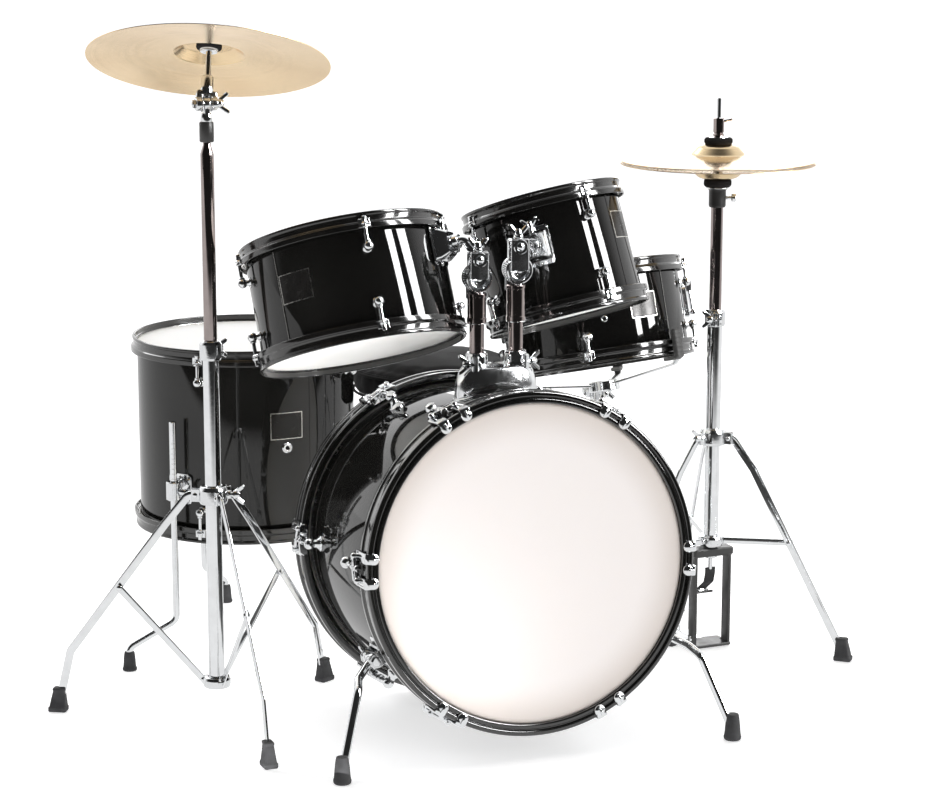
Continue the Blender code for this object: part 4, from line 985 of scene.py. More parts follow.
# =============================================================================================== tom mount, posts and tilters
MY = 140.0
TOP_Z = 243.6 - MY * math.tan(TAU) + 203.0
POST_L, POST_R = Vector((-25.0, MY, 0)), Vector((27.5, MY, 0))
PIV_L, PIV_R = Vector((-25.0, MY, 584)), Vector((29.0, MY, 592))
mb = Piece("tom_mount_casting", "kit", replaces=("tom_mount_base",), angle=34)
rows = []
NA = 96
for s, h, f in ((0.97, -1.2, 1.0), (1.0, 0.4, 1.0), (1.0, 2.6, 1.0), (0.985, 3.8, 1.0), (0.955, 4.4, 0.98), (0.95, 5.6, 0.95), (0.955, 8.0, 0.90), (0.95, 13.0, 0.74), (0.925, 20.0, 0.50), (0.885, 27.0, 0.26), (0.845, 32.0, 0.08), (0.80, 35.4, 0.02), (0.74, 37.0, 0.0), (0.64, 37.6, 0.0)):
    ring_ = []
    for q in range(NA):
        a = 2 * math.pi * q / NA
        # a superellipse, fuller at its corners than a plain ellipse
        cx, sy = math.cos(a), math.sin(a)
        kx = 57.0 * s * math.copysign(abs(cx) ** 0.86, cx)
        ky = 29.0 * s * math.copysign(abs(sy) ** 0.86, sy)
        drop_ = 203.0 - math.sqrt(203.0 ** 2 - kx ** 2)
        ring_.append((1.0 + kx, MY + ky, TOP_Z + h - f * (drop_ + ky * math.tan(TAU))))
    rows.append(ring_)
V_ = np.array([p for r_ in rows for p in r_])
F_ = [tuple(range(NA))[::-1], tuple(range((len(rows) - 1) * NA, len(rows) * NA))]
for i in range(len(rows) - 1):
    for j in range(NA):
        a, b = i * NA + j, i * NA + (j + 1) % NA
        F_.append((a, b, b + NA, a + NA))
mb.add(CHROME_SOFT, (V_, F_))
for p, sx in ((POST_L, -1), (POST_R, 1)):
    mb.add(CHROME, lathe(rounded([(9.5, TOP_Z + 30), (15.6, TOP_Z + 30), (15.6, TOP_Z + 39), (14.4, TOP_Z + 41), (14.4, TOP_Z + 51), (12.8, TOP_Z + 54.5), (9.5, TOP_Z + 54.5)], 1.2, 3, closed=True), T(p), 56, closed=True))
    # split lugs and the wing screw that closes the collar
    fr = Vector((sx * 0.42, -0.91, 0)).normalized()
    mb.add(CHROME_SOFT, box((11.0, 9.0, 19.0), frame_matrix(p + Vector((0, 0, TOP_Z + 42)) + fr * 15.5, Vector((0, 0, 1)), fr), b=1.2, r=2.2))
    sdir = Vector((sx, 0.25, 0)).normalized()
    c = p + Vector((0, 0, TOP_Z + 42)) + fr * 17.5
    mb.add(CHROME, cyl(c - sdir * 7, c + sdir * 7, 3.4, 20))
    mb.add(CHROME, *wing(frame_matrix(c + sdir * 8.0, sdir, (0, 0, 1)), 13.0, 14.0, 3.2, 5.0, stem=3.0))
for sx in (-1, 1):
    for sy in (-1, 1):
        px, py = 1.0 + sx * 45.0, MY + sy * 12.5
        d0 = 203.0 - math.sqrt(203.0 ** 2 - (px - 1.0) ** 2)
        mb.add(CHROME, lathe([(0, 0), (4.6, 0), (4.9, 1.0), (4.0, 2.6), (2.4, 2.8), (2.2, 1.6), (0, 1.6)], frame_matrix((px, py, TOP_Z + 6.6 - d0 - sy * 12.5 * math.tan(TAU)), (sx * 0.22, -0.05, 1)), 22))
mb.make()
for tag, p, piv, body in (("left", POST_L, PIV_L, "post_left"), ("right", POST_R, PIV_R, "post_right")):
    po = Piece("tom_post_tube_" + tag, body, replaces=("tom_post_" + tag,))
    po.add(CHROME_DARK, ring(p + Vector((0, 0, TOP_Z + 14)), p + Vector((0, 0, 530)), 9.3, 7.6, 48))
    po.add(CHROME, ring(p + Vector((0, 0, 525.6)), p + Vector((0, 0, 527.4)), 12.3, 9.0, 56, 0.5))
    z1 = piv.z - 19
    po.add(CHROME_DARK, lathe(rounded([(9.0, 526.5), (12.0, 526.5), (12.6, 528.5), (12.6, 532.5), (11.9, 533.4), (11.9, z1 - 5), (12.6, z1 - 4), (12.6, z1 - 1), (11.2, z1), (0, z1)], 0.6, 2) + [], T(p) @ Matrix(), 56) if False else
           lathe([(0, 526.5), (11.6, 526.5), (12.5, 527.6), (12.5, 532.6), (11.8, 533.4), (11.8, z1 - 5.2), (12.5, z1 - 4.4), (12.5, z1 - 1.0), (11.4, z1), (0, z1)], T(p), 56))
    # fixed half of the tilter: a back plate, a toothed disc behind the moving one
    po.add(CHROME_SOFT, box((22, 7.0, 40), T(p.x, MY + 8.7, piv.z - 8), b=1.4, r=2.6))
    po.add(CHROME_SOFT, cyl(Vector((piv.x, MY + 4.7, piv.z)), Vector((piv.x, MY + 12.0, piv.z)), 16.6, 56, ch=1.2))
    for q in range(36):
        a = math.radians(q * 10)
        po.add(CHROME_SOFT, box((2.0, 1.3, 2.2), frame_matrix(Vector((piv.x + 16.2 * math.cos(a), MY + 5.4, piv.z + 16.2 * math.sin(a))), (math.cos(a), 0, math.sin(a)), (0, 1, 0)), b=0.3, r=0.3))
    po.add(CHROME, hexnut(Vector((piv.x, MY + 14.0, piv.z)), (0, 1, 0), 11.0, 4.4))
    po.make()


def tilter(tag, piv, target, inward, rise, at, az, z, rs):
    ar = Piece("tom_tilter_" + tag, "arm_" + tag, replaces=("tom_arm_" + tag,))
    fr = Vector((0, -1, 0))
    my = frame_matrix(piv, fr, (1, 0, 0))
    prof = [(0, 4.6), (3.2, 4.6), (10.2, 4.6), (11.2, 5.2), (12.4, 9.6), (13.4, 11.2), (16.0, 11.6), (17.3, 10.4), (17.5, 8.6), (17.5, 2.0), (16.8, 1.0), (16.8, -3.6), (0, -3.6)]
    ar.add(CHROME_SOFT, lathe(prof, my, 72))
    for q in range(36):
        a = math.radians(q * 10 + 5)
        ar.add(CHROME_SOFT, box((1.8, 1.3, 3.6), frame_matrix(piv + Vector((17.0 * math.cos(a), -1.0, 17.0 * math.sin(a))), (math.cos(a), 0, math.sin(a)), (0, 1, 0)), b=0.3, r=0.3))
    ar.add(CHROME, hexnut(piv + fr * 6.6, fr, 12.0, 4.6), cyl(piv + fr * 8.2, piv + fr * 11.4, 3.6, 22))
    # ball socket block and its window
    bz = piv.z + (rise + 12) / 2 - 2
    ar.add(CHROME_SOFT, box((25.5, 16.5, rise + 12), T(piv.x, piv.y - 4.5, bz), b=1.8, r=3.2))
    ar.add(CHROME, ring(Vector((piv.x, piv.y - 11.6, piv.z + rise)), Vector((piv.x, piv.y - 14.4, piv.z + rise)), 9.4, 6.2, 40, 0.8))
    ar.add(CHROME, ball(Vector((piv.x, piv.y - 10.2, piv.z + rise)), 6.6, 28))
    zt = piv.z + rise + 10
    ar.add(CHROME, cyl(Vector((piv.x, piv.y - 4.5, zt)), Vector((piv.x, piv.y - 4.5, zt + 4)), 6.2, 28))
    ar.add(CHROME, *wing(frame_matrix(Vector((piv.x, piv.y - 4.5, zt + 3.6)), (0.0, 0.0, 1.0), (0.85, -0.5, 0)), 13.5, 14.0, 3.2, 5.2))
    neck = piv + Vector((0, -4, rise))
    tip = target + inward * 0.4
    ar.add(CHROME, rod([neck, target + inward * 18, tip], 5.5, 24, bend=9, k=8))
    # memory clamp on the rod against the tom's bracket
    dr = (tip - (target + inward * 18)).normalized()
    ar.add(CHROME_SOFT, ring(tip - dr * 10.5, tip - dr * 2.0, 9.4, 5.4, 36, 1.0))
    sd = dr.cross(Vector((0, 0, 1))).normalized()
    ar.add(CHROME_SOFT, box((8, 7, 7), frame_matrix(tip - dr * 6.2 + Vector((0, 0, -10.5)), Vector((0, 0, 1)), sd), b=0.8, r=1.2))
    ar.add(CHROME, cyl(tip - dr * 6.2 + Vector((0, 0, -11)) - sd * 6, tip - dr * 6.2 + Vector((0, 0, -11)) + sd * 6, 2.2, 16))
    return ar


tipL = atL(-41.0, 147.0, 112)
inL = (atL(-41.0, 1, 0) - atL(-41.0, 0, 0)).normalized()
tipR = atR(-123.0, 121.6, 96)
inR = (atR(-123.0, 1, 0) - atR(-123.0, 0, 0)).normalized()
tilter("left", PIV_L, tipL, inL, 24.0, atL, -41.0, 112, 127).make()
tilter("right", PIV_R, tipR, inR, 30.0, atR, -123.0, 96, 101.6).make()


# =============================================================================================== stands
def rubber_foot(pc, at, r, hgt=32.0, u=Vector((1, 0, 0))):
    """A tapered block in line with the leg u: a stepped sole, ribbed sides and a collar round the strip."""
    m = frame_matrix(at, (0, 0, 1), u)
    rows = []
    for z, lx, ly, off in ((0.0, r * 2.10, r * 1.50, 0.6), (1.2, r * 2.22, r * 1.62, 0.6), (5.6, r * 2.22, r * 1.62, 0.6), (6.8, r * 2.02, r * 1.44, 0.3), (hgt * 0.55, r * 1.72, r * 1.22, -0.6), (hgt - 4.2, r * 1.44, r * 1.04, -1.6), (hgt - 3.0, r * 1.56, r * 1.14, -1.7), (hgt - 0.8, r * 1.54, r * 1.12, -1.8), (hgt, r * 1.40, r * 1.0, -1.9)):
        c = rounded([(-lx / 2, -ly / 2), (lx / 2, -ly / 2), (lx / 2, ly / 2), (-lx / 2, ly / 2)], 2.6, 4, closed=True)
        rows.append(np.array([[p[0] + off, p[1], z] for p in c]))
    k = len(rows[0])
    V = np.concatenate(rows)
    F = [tuple(range(k))[::-1], tuple(range((len(rows) - 1) * k, len(rows) * k))]
    for i in range(len(rows) - 1):
        for j in range(k):
            a, b = i * k + j, i * k + (j + 1) % k
            F.append((a, b, b + k, a + k))
    pc.add(RUBBER, (xf(m, V), F))
    for q in range(4):
        z = 10.0 + q * 4.2
        w = 1.0 - 0.0105 * z
        pc.add(RUBBER, box((r * 2.02 * w, r * 1.46 * w, 1.5), m @ T(-0.3 - q * 0.25, 0, z), b=0.4, r=2.6))


def tripod_looks(name, body, node, centre, azimuths, path, wide, thick, collar_z, tube_r, brace, foot_r=11.0, low=None, wing_az=None):
    pc = Piece(name, body, replaces=(node,))
    up = Vector((0, 0, 1))
    ro = tube_r + 8.6
    c0, c1 = collar_z - 12, collar_z + 12
    pc.add(CHROME_SOFT, lathe(rounded([(tube_r + 0.5, c0), (ro - 1.5, c0), (ro, c0 + 4), (ro - 0.4, c1 - 6), (ro - 2.8, c1 - 1), (tube_r + 0.5, c1)], 1.4, 3, closed=True), T(centre), 56, closed=True))
    if wing_az is not None:
        w = polar(wing_az)
        pc.add(CHROME_SOFT, cyl(centre + w * (ro - 2) + up * collar_z, centre + w * (ro + 4.5) + up * collar_z, 5.4, 26))
        pc.add(CHROME, *wing(frame_matrix(centre + w * (ro + 7.5) + up * collar_z, w, up), 13.5, 14.0, 3.2, 5.2, stem=6.0))
    if low is not None:
        pc.add(CHROME_SOFT, lathe(rounded([(tube_r + 0.5, low - 7), (tube_r + 6.5, low - 7), (tube_r + 7.8, low - 3), (tube_r + 7.8, low + 3), (tube_r + 6.5, low + 7), (tube_r + 0.5, low + 7)], 1.0, 3, closed=True), T(centre), 48, closed=True))
    for az in azimuths:
        u, side = polar(az), polar(az + 90)
        pts = [centre + u * r + up * z for r, z in path]
        # flat strips standing on edge, rolled over along both edges
        pc.add(CHROME, strip(pts, side, thick * 0.72, wide - 1.2, bend=12, k=6, r=0.6))
        foot = centre + u * (path[-1][0] + 2)
        rubber_foot(pc, foot, foot_r, u=u)
        # pivots at the collar
        for s in (-1, 1):
            p = centre + u * (ro + 4.5) + up * (collar_z - 1.5) + side * (s * (thick / 2 + 1.9))
            pc.add(CHROME_SOFT, box((17, 2.4, 17), frame_matrix(p - u * 3.5, up, u), b=0.6, r=1.0))
            pc.add(CHROME, rivet(p + side * (s * 1.4), side * s, 3.4, 1.6))
        if brace:
            (r0, z0), (r1, z1) = brace
            b0, b1 = centre + u * r0 + up * z0, centre + u * r1 + up * z1
            d = (b1 - b0).normalized()
            o = side * (thick / 2 + 1.2)
            pc.add(CHROME, strip([b0 + o - d * 5, b1 + o + d * 5], side, 1.8, 9.0, bend=0, r=0.5))
            pc.add(CHROME, rivet(b1 + o + side * 0.8, side, 4.0, 2.0), rivet(b1 - side * (thick / 2 - 0.4), -side, 4.0, 1.8))
            pc.add(CHROME, rivet(b0 + o + side * 0.8, side, 3.6, 1.8), cyl(b0 - side * 4.0, b0 + side * 4.0, 2.2, 16))
            pc.add(CHROME_SOFT, box((10, 3.0, 11), frame_matrix(b0 - u * 4.0 - side * 1.0, up, u), b=0.6, r=1.0))
    return pc


def clamp(pc, centre, z0, z1, r_in, r_out, wing_az, mat_=None):
    """A die-cast clamp at a tube's mouth, with its split ears and wing bolt."""
    up = Vector((0, 0, 1))
    zc = (z0 + z1) / 2
    pc.add(mat_ or CHROME_SOFT, lathe(rounded([(r_in, z0), (r_out - 1.0, z0), (r_out, z0 + 3), (r_out, z1 - 4), (r_out - 2.2, z1), (r_in, z1)], 1.0, 3, closed=True), T(centre), 52, closed=True))
    w, sd = polar(wing_az), polar(wing_az + 90)
    for s in (-1, 1):
        pc.add(mat_ or CHROME_SOFT, box((12, 3.4, (z1 - z0) * 0.82), frame_matrix(centre + sd * (r_out + 3.2) + w * (s * 2.8) + up * zc, up, sd), b=0.8, r=1.2))
    pc.add(CHROME, cyl(centre + sd * (r_out + 4.5) - w * 8.0 + up * zc, centre + sd * (r_out + 4.5) + w * 6.0 + up * zc, 2.8, 18))
    pc.add(CHROME, hexnut(centre + sd * (r_out + 4.5) - w * 6.0 + up * zc, w, 9.0, 3.4))
    pc.add(CHROME, *wing(frame_matrix(centre + sd * (r_out + 4.5) + w * 6.0 + up * zc, w, up), 12.5, 13.5, 3.2, 5.0))


CRASH, HIHAT = Vector((-336.3, 273.4, 0)), Vector((409.5, 367.4, 0))
AZ_C = [32.5 + 120 * k for k in range(3)]
tripod_looks("crash_stand_legs", "kit", "crash_tripod", CRASH, AZ_C, [(17, 300), (34, 297), (66, 257), (196, 82), (212, 14)], 12, 3.6, 300, 10.4, ((17, 52), (127, 171)), low=50, wing_az=-24.0).make()
cb = Piece("crash_stand_base_tube", "kit", replaces=("crash_base_tube",))
cb.add(CHROME, ring(CRASH + Vector((0, 0, 44)), CRASH + Vector((0, 0, 480)), 10.4, 8.8, 56))
cb.add(RUBBER, cyl(CRASH + Vector((0, 0, 41)), CRASH + Vector((0, 0, 47)), 9.8, 32))
clamp(cb, CRASH, 475.5, 500, 8.9, 14.3, -20.0)
cb.make()
CT = CRASH + Vector((0, 0, 800))
cu = Piece("crash_stand_upper_tube", "crash_mast", replaces=("crash_upper_tube",))
cu.add(CHROME_DARK, lathe([(0, 380), (8.0, 380), (8.5, 381), (8.5, 736.5), (8.2, 738.5), (6.6, 744), (5.0, 748.6), (5.0, 753), (0, 753)], T(CRASH), 56))
cu.add(PAINT, lathe([(0, 752.4), (8.4, 752.4), (9.1, 753.6), (9.2, 776.0), (8.5, 777.4), (0, 777.4)], T(CRASH), 52))
cu.add(CHROME_SOFT, lathe([(0, 776.8), (6.8, 776.8), (7.4, 778.4), (7.4, 786.0), (6.4, 788.5), (0, 788.5)], T(CRASH), 44))
cu.add(CHROME_SOFT, box((7.2, 13, 23), T(CT + Vector((0, 0, -9.3))), b=1.0, r=1.6))
cu.add(CHROME_SOFT, cyl(CT + Vector((-3.9, 0, 0)), CT + Vector((3.9, 0, 0)), 8.8, 44, ch=0.8))
cu.make()
LEAN = Vector((0.166, 0.354, 1.0)).normalized()
CE = CT + LEAN * 54.0
CC = CE + LEAN * 25.0
XA = Vector((1, 0, 0))
ML = frame_matrix(CT, LEAN)
ct = Piece("crash_stand_tilter", "crash_tilter", replaces=("crash_tilter",))
for s in (-1, 1):
    ct.add(CHROME_SOFT, cyl(CT + XA * (s * 4.6), CT + XA * (s * 13.6), 9.0, 44, ch=1.0))
    for q in range(24):
        a = math.radians(15 * q)
        n_ = Vector((0, math.cos(a), math.sin(a)))
        ct.add(CHROME_SOFT, box((1.5, 1.0, 2.4), frame_matrix(CT + XA * (s * 6.2) + n_ * 8.8, n_, XA), b=0.25, r=0.25))
    ct.add(CHROME_SOFT, box((8.6, 9.6, 15), frame_matrix(CT + XA * (s * 9.3) + LEAN * 7, LEAN), b=1.0, r=1.8))
ct.add(CHROME_SOFT, box((27.4, 10, 7.4), frame_matrix(CT + LEAN * 12.6, LEAN), b=1.6, r=3.0))
ct.add(CHROME, cyl(CT - XA * 18.6, CT + XA * 16.5, 3.1, 22))
ct.add(CHROME, hexnut(CT - XA * 15.6, XA, 10.0, 4.4))
ct.add(CHROME, *wing(frame_matrix(CT + XA * 14.4, XA, (0, 0.25, 1)), 14.0, 15.5, 3.4, 5.6))
ct.add(CHROME, rod([CT + LEAN * 10, CT + LEAN * 101], 3.1, 24))
ct.add(CHROME, lathe([(0, 13), (7.6, 13), (8.0, 14.5), (8.0, 33.5), (7.2, 35.5), (4.4, 36.5), (0, 36.5)], ML, 40))
h0 = 79.0
ct.add(CHROME, lathe([(0, 35), (4.2, 35), (4.0, 38), (3.6, h0 - 14), (4.4, h0 - 12), (4.5, h0 + 11), (0, h0 + 11)], ML, 32))
ct.add(CHROME, lathe(rounded([(3.4, h0 - 12.2), (10.8, h0 - 12.2), (11.2, h0 - 11.2), (10.8, h0 - 10.2), (3.4, h0 - 10.2)], 0.4, 2, closed=True), ML, 48, closed=True))
ct.add(FELT_WHITE, lathe(rounded([(3.4, h0 - 10.1), (11.3, h0 - 10.1), (11.6, h0 - 9.4), (11.3, h0 - 8.6), (3.4, h0 - 8.6)], 0.4, 2, closed=True), ML, 48, closed=True))
ct.add(FELT_BLACK, lathe(rounded([(4.5, h0 - 8.6), (15.0, h0 - 8.6), (16.2, h0 - 6.4), (16.2, h0 - 2.8), (15.0, h0 - 0.5), (4.5, h0 - 0.5)], 1.6, 4, closed=True), ML, 60, closed=True))
ct.add(FELT_BLACK, lathe(rounded([(4.5, h0 + 2.0), (13.4, h0 + 2.0), (14.2, h0 + 4), (14.2, h0 + 7.2), (13.0, h0 + 8.8), (4.5, h0 + 8.8)], 1.4, 4, closed=True), ML, 56, closed=True))
ct.add(CHROME, lathe(rounded([(3.4, h0 + 8.9), (10.4, h0 + 8.9), (10.4, h0 + 10.2), (3.4, h0 + 10.2)], 0.4, 2, closed=True), ML, 48, closed=True))
ct.add(CHROME, *wing(ML @ T(0, 0, h0 + 10.6), 12.5, 12.5, 3.2, 5.4))
ct.make()


def cymbal_prof(r, bell_r, bell_h, bow, hole, thick=1.35):
    """Upper line of the bow and bell, finely divided, then back along the underside."""
    ctrl = [(r, 0.0), (r * 0.62, bow * 0.62), (bell_r * 1.03, bow), (bell_r * 0.75, bow + bell_h * 0.74), (17.0, bow + bell_h * 0.985), (hole, bow + bell_h)]
    line = rounded(ctrl, [0, 140, 7, 10, 8, 0], 10)
    fine = []
    for a, b in zip(line[:-1], line[1:]):
        k = max(1, int(np.linalg.norm(b - a) / 7.0))
        fine += [a + (b - a) * (i / k) for i in range(k)]
    fine.append(line[-1])
    top, low = [], []
    for i, p in enumerate(fine):
        # shallow hammered rings and spun ridges
        h = 0.10 * math.sin(p[0] * 0.9) if bell_r * 1.1 < p[0] < r - 3 else 0.0
        taper = thick if p[0] < r - 10 else thick * (0.72 + 0.28 * (r - p[0]) / 10)
        top.append((p[0], p[1] + taper + h))
        low.append((p[0], p[1] + h))
    e = thick * 0.72
    edge = [(r + 0.05, e * 0.75), (r + 0.1, e * 0.5), (r + 0.05, e * 0.25)]
    return top[::-1] + edge + low


def metres(p):
    return tuple((np.asarray(tuple(p)) + SHIFT) * MM)


BRASS = brass_mat("cymbal_pale_bronze", (0.91, 0.71, 0.455), (0.74, 0.53, 0.31), metres(CE), LEAN)
BRASS_HAT = brass_mat("cymbal_bronze_hat", (0.78, 0.62, 0.40), (0.58, 0.43, 0.24), metres(HIHAT + Vector((0, 0, 690))), (0, 0, 1))
cr = Piece("crash_cymbal_disc", "crash", replaces=("crash_cymbal",), angle=50)
cr.add(BRASS, lathe(cymbal_prof(153.4, 43.7, 15.0, 10.0, 5.2), frame_matrix(CE, LEAN), 256, closed=True))
cr.make()

# hi-hat
UPZ = Vector((0, 0, 1))
AZ_H = [-40.8 + 120 * k for k in range(3)]
tripod_looks("hihat_stand_legs", "kit", "hihat_tripod", HIHAT, AZ_H, [(17, 306), (30, 303), (60, 262), (192, 14)], 12, 3.6, 306, 10.4, ((17, 156), (113, 161)), low=156, wing_az=200.0).make()
hb = Piece("hihat_stand_base_tube", "kit", replaces=("hihat_base_tube",))
hb.add(CHROME, ring(HIHAT + UPZ * 146.4, HIHAT + UPZ * 466, 10.4, 8.8, 56))
clamp(hb, HIHAT, 462.5, 486, 8.9, 14.3, 160.0)
hb.make()
hu = Piece("hihat_stand_upper_tube", "hihat_mast", slot="hihat_upper_tube", replaces=("hihat_upper_tube",))
hu.add(CHROME_DARK, ring(HIHAT + UPZ * 360, HIHAT + UPZ * 640, 8.5, 5.4, 52))
hu.add(PAINT, lathe(rounded([(5.0, 628), (11.0, 628), (11.8, 631), (11.8, 651), (13.6, 653.6), (5.0, 653.6)], 1.0, 3, closed=True), T(HIHAT), 52, closed=True))
hu.add(CHROME, lathe(rounded([(5.0, 653.7), (15.0, 653.7), (16.6, 654.6), (16.6, 656), (5.0, 656.4)], 0.5, 2, closed=True), T(HIHAT), 52, closed=True))
hu.add(FELT_BLACK, lathe(rounded([(5.0, 656.4), (17.8, 656.4), (19.2, 659.5), (19.0, 664.4), (17.4, 667.0), (5.0, 667.0)], 1.8, 4, closed=True), T(HIHAT), 60, closed=True))
hu.add(CHROME, cyl(HIHAT + Vector((9, -4, 641)), HIHAT + Vector((20, -9, 641)), 2.6, 18))
hu.add(CHROME, lathe([(0, 0), (5.4, 0), (5.8, 1), (5.8, 5), (4.8, 6.4), (0, 6.4)], frame_matrix(HIHAT + Vector((17.5, -7.8, 641)), Vector((11, -5, 0)), (0, 0, 1)), 24))
hu.make()
HT = 690.0
hbc = Piece("hihat_cymbal_bottom", "hihat_mast", replaces=("hihat_bottom_cymbal",), angle=50)
pb = [(r, -z) for r, z in cymbal_prof(134.0, 37.0, 15.0, 7.0, 5.2)]
hbc.add(BRASS_HAT, lathe(pb[::-1], frame_matrix(HIHAT + UPZ * (HT - 1.0), (0, 0, 1)), 240, closed=True))
hbc.make()
htc = Piece("hihat_cymbal_top", "hihat_pull", replaces=("hihat_top_cymbal",), angle=50)
htc.add(BRASS_HAT, lathe(cymbal_prof(134.0, 37.0, 15.0, 7.0, 5.2), frame_matrix(HIHAT + UPZ * (HT + 2.5), (0, 0, 1)), 240, closed=True))
htc.make()
hr = Piece("hihat_pull_rod", "hihat_pull", replaces=("hihat_rod",))
hr.add(CHROME, rod([HIHAT + UPZ * 113, HIHAT + UPZ * 778], 3.0, 24))
zt = HT + 2.5 + 22 + 1.5
hr.add(FELT_BLACK, lathe(rounded([(4.0, zt - 1.0), (18.2, zt - 1.0), (19.5, zt + 1.4), (19.5, zt + 5.0), (17.8, zt + 7.4), (4.0, zt + 7.4)], 1.8, 4, closed=True), T(HIHAT), 60, closed=True))
hr.add(CHROME, lathe(rounded([(3.4, zt + 7.4), (13.6, zt + 7.4), (13.6, zt + 8.6), (3.4, zt + 8.6)], 0.4, 2, closed=True), T(HIHAT), 48, closed=True))
hr.add(CHROME_DARK, lathe([(0, zt + 8.6), (6.8, zt + 8.6), (7.4, zt + 9.6), (7.4, zt + 12.6), (6.6, zt + 13.4), (6.6, zt + 14.6), (7.4, zt + 15.4), (7.4, zt + 33.6), (6.6, zt + 34.6), (0, zt + 34.6)], T(HIHAT), 44))
hr.add(CHROME, cyl(HIHAT + Vector((5, -1, zt + 29.5)), HIHAT + Vector((13, -4, zt + 31.5)), 1.8, 16))
hr.add(CHROME_DARK, box((3.0, 7.0, 6.0), frame_matrix(HIHAT + Vector((14.5, -4.6, zt + 32.0)), Vector((8, -3, 2)), (0, 0, 1)), b=0.6, r=1.4))
hr.add(CHROME, lathe(rounded([(4.6, 671.5), (7.6, 671.5), (8.4, 673), (8.4, 676), (7.4, 677.6), (4.6, 677.6)], 0.6, 3, closed=True), T(HIHAT), 36, closed=True) if False else cyl(HIHAT + UPZ * 684.0, HIHAT + UPZ * 688.5, 6.4, 30))
hr.make()
HD, HE = polar(95.0), polar(5.0)
hm = frame_matrix(HIHAT, (0, 0, 1), HE)


def hl(x, y, z):
    return hm @ Vector((x, y, z))


hf = Piece("hihat_pedal_frame", "kit", replaces=("hihat_frame",))
hf.add(PAINT, box((63, 25, 11.5), hm @ T(0, 0, 139.8), b=1.8, r=4.0))
for s in (-1, 1):
    hf.add(PAINT, strip([hl(s * 27.0, 0, 141), hl(s * 27.0, 0, 6), hl(s * 25.0, 3, 4)], HD, 19.0, 4.6, bend=3, r=1.6))
    hf.add(CHROME, rivet(hl(s * 29.3, 0, 137), HE * s, 3.8, 2.0), rivet(hl(s * 29.3, 0, 14), HE * s, 3.8, 2.0))
hf.add(PAINT, box((60, 40, 4.4), hm @ T(0, 8, 3.4), b=0.9, r=4.0))
hf.add(CHROME, box((13, 190, 3.2), hm @ T(0, 102, 3.8), b=0.8, r=3.0))
hf.add(PAINT, box((60, 38, 5.2), hm @ T(0, 199, 3.8), b=1.0, r=4.0))
hf.add(PAINT, box((56, 4.4, 13), hm @ T(0, 215.6, 10.0), b=0.9, r=1.6))
for s in (-1, 1):
    hf.add(RUBBER, cyl(hl(s * 26, 20, 0), hl(s * 26, 20, 2.6), 5.0, 24), cyl(hl(s * 22, 206, 0), hl(s * 22, 206, 2.6), 5.0, 24))
# the spring case hanging under the bridge
hf.add(CHROME, ring(hl(0, 0, 134.2), hl(0, 0, 131.0), 9.0, 4.2, 36))
hf.make()
HEEL, TOE = hl(0, 206, 18.5), hl(0, 22, 74)


def foot_board(name, body, node, heel, toe, wide, side, rib=9):
    """A cast foot plate: raised rim, cross ribs, a heel hinge with a pin, a toe stop."""
    fb = Piece(name, body, replaces=(node,))
    d = (toe - heel).normalized()
    nrm = side.cross(d).normalized()
    if nrm.z < 0:
        nrm = -nrm
    L = (toe - heel).length
    m = frame_matrix(heel + d * (L / 2), nrm, side)
    yv = (m.to_3x3() @ Vector((0, 1, 0)))
    s_ = 1 if yv.dot(d) > 0 else -1
    out = [(-wide * 0.46, -L / 2 - 2), (wide * 0.46, -L / 2 - 2), (wide / 2, -L / 2 + 26), (wide / 2, L / 2 - 26), (wide * 0.40, L / 2 + 2), (-wide * 0.40, L / 2 + 2), (-wide / 2, L / 2 - 26), (-wide / 2, -L / 2 + 26)]
    if s_ < 0:
        out = [(x, -y) for x, y in out][::-1]
    fb.add(PAINT, plate(out, 3.4, m, b=0.7, r=6.0, k=5))
    for x in (-wide / 2 + 2.0, wide / 2 - 2.0):
        fb.add(PAINT, strip([heel + d * 20 + side * x + nrm * 2.4, toe - d * 22 + side * x + nrm * 2.4], side, 2.6, 3.6, bend=0, r=0.9))
    for q in range(rib):
        c = heel + d * (L * 0.2 + q * (L * 0.62 / (rib - 1))) + nrm * 2.2
        fb.add(PAINT, strip([c - side * (wide * 0.36), c + side * (wide * 0.36)], d, 3.4, 2.2, bend=0, r=0.8))
    fb.add(CHROME, cyl(heel - side * (wide / 2 - 1), heel + side * (wide / 2 - 1), 3.9, 28))
    for s in (-1, 1):
        fb.add(PAINT, box((9, 10, 8), frame_matrix(heel + side * (s * wide * 0.34), side, d), b=1.0, r=2.2))
    return fb, d, nrm


fb, d_, n_ = foot_board("hihat_pedal_footboard", "hihat_pedal", "hihat_footboard", HEEL, TOE, 46.0, HE)
fb.add(CHROME_SOFT, box((16, 12, 5), frame_matrix(TOE - d_ * 5 + n_ * 3.4, n_, HE), b=1.0, r=2.0))
fb.add(NYLON, strip([TOE - d_ * 8 + n_ * 2.6, TOE - d_ * 1.0 + n_ * 5.2, hl(0, 4.0, 94), hl(0, 0, 108), hl(0, 0, 116)], HE, 16.0, 1.6, bend=6, r=0.5))
fb.add(CHROME, rivet(TOE - d_ * 6 + n_ * 5.6, n_, 3.2, 1.8))
fb.make()

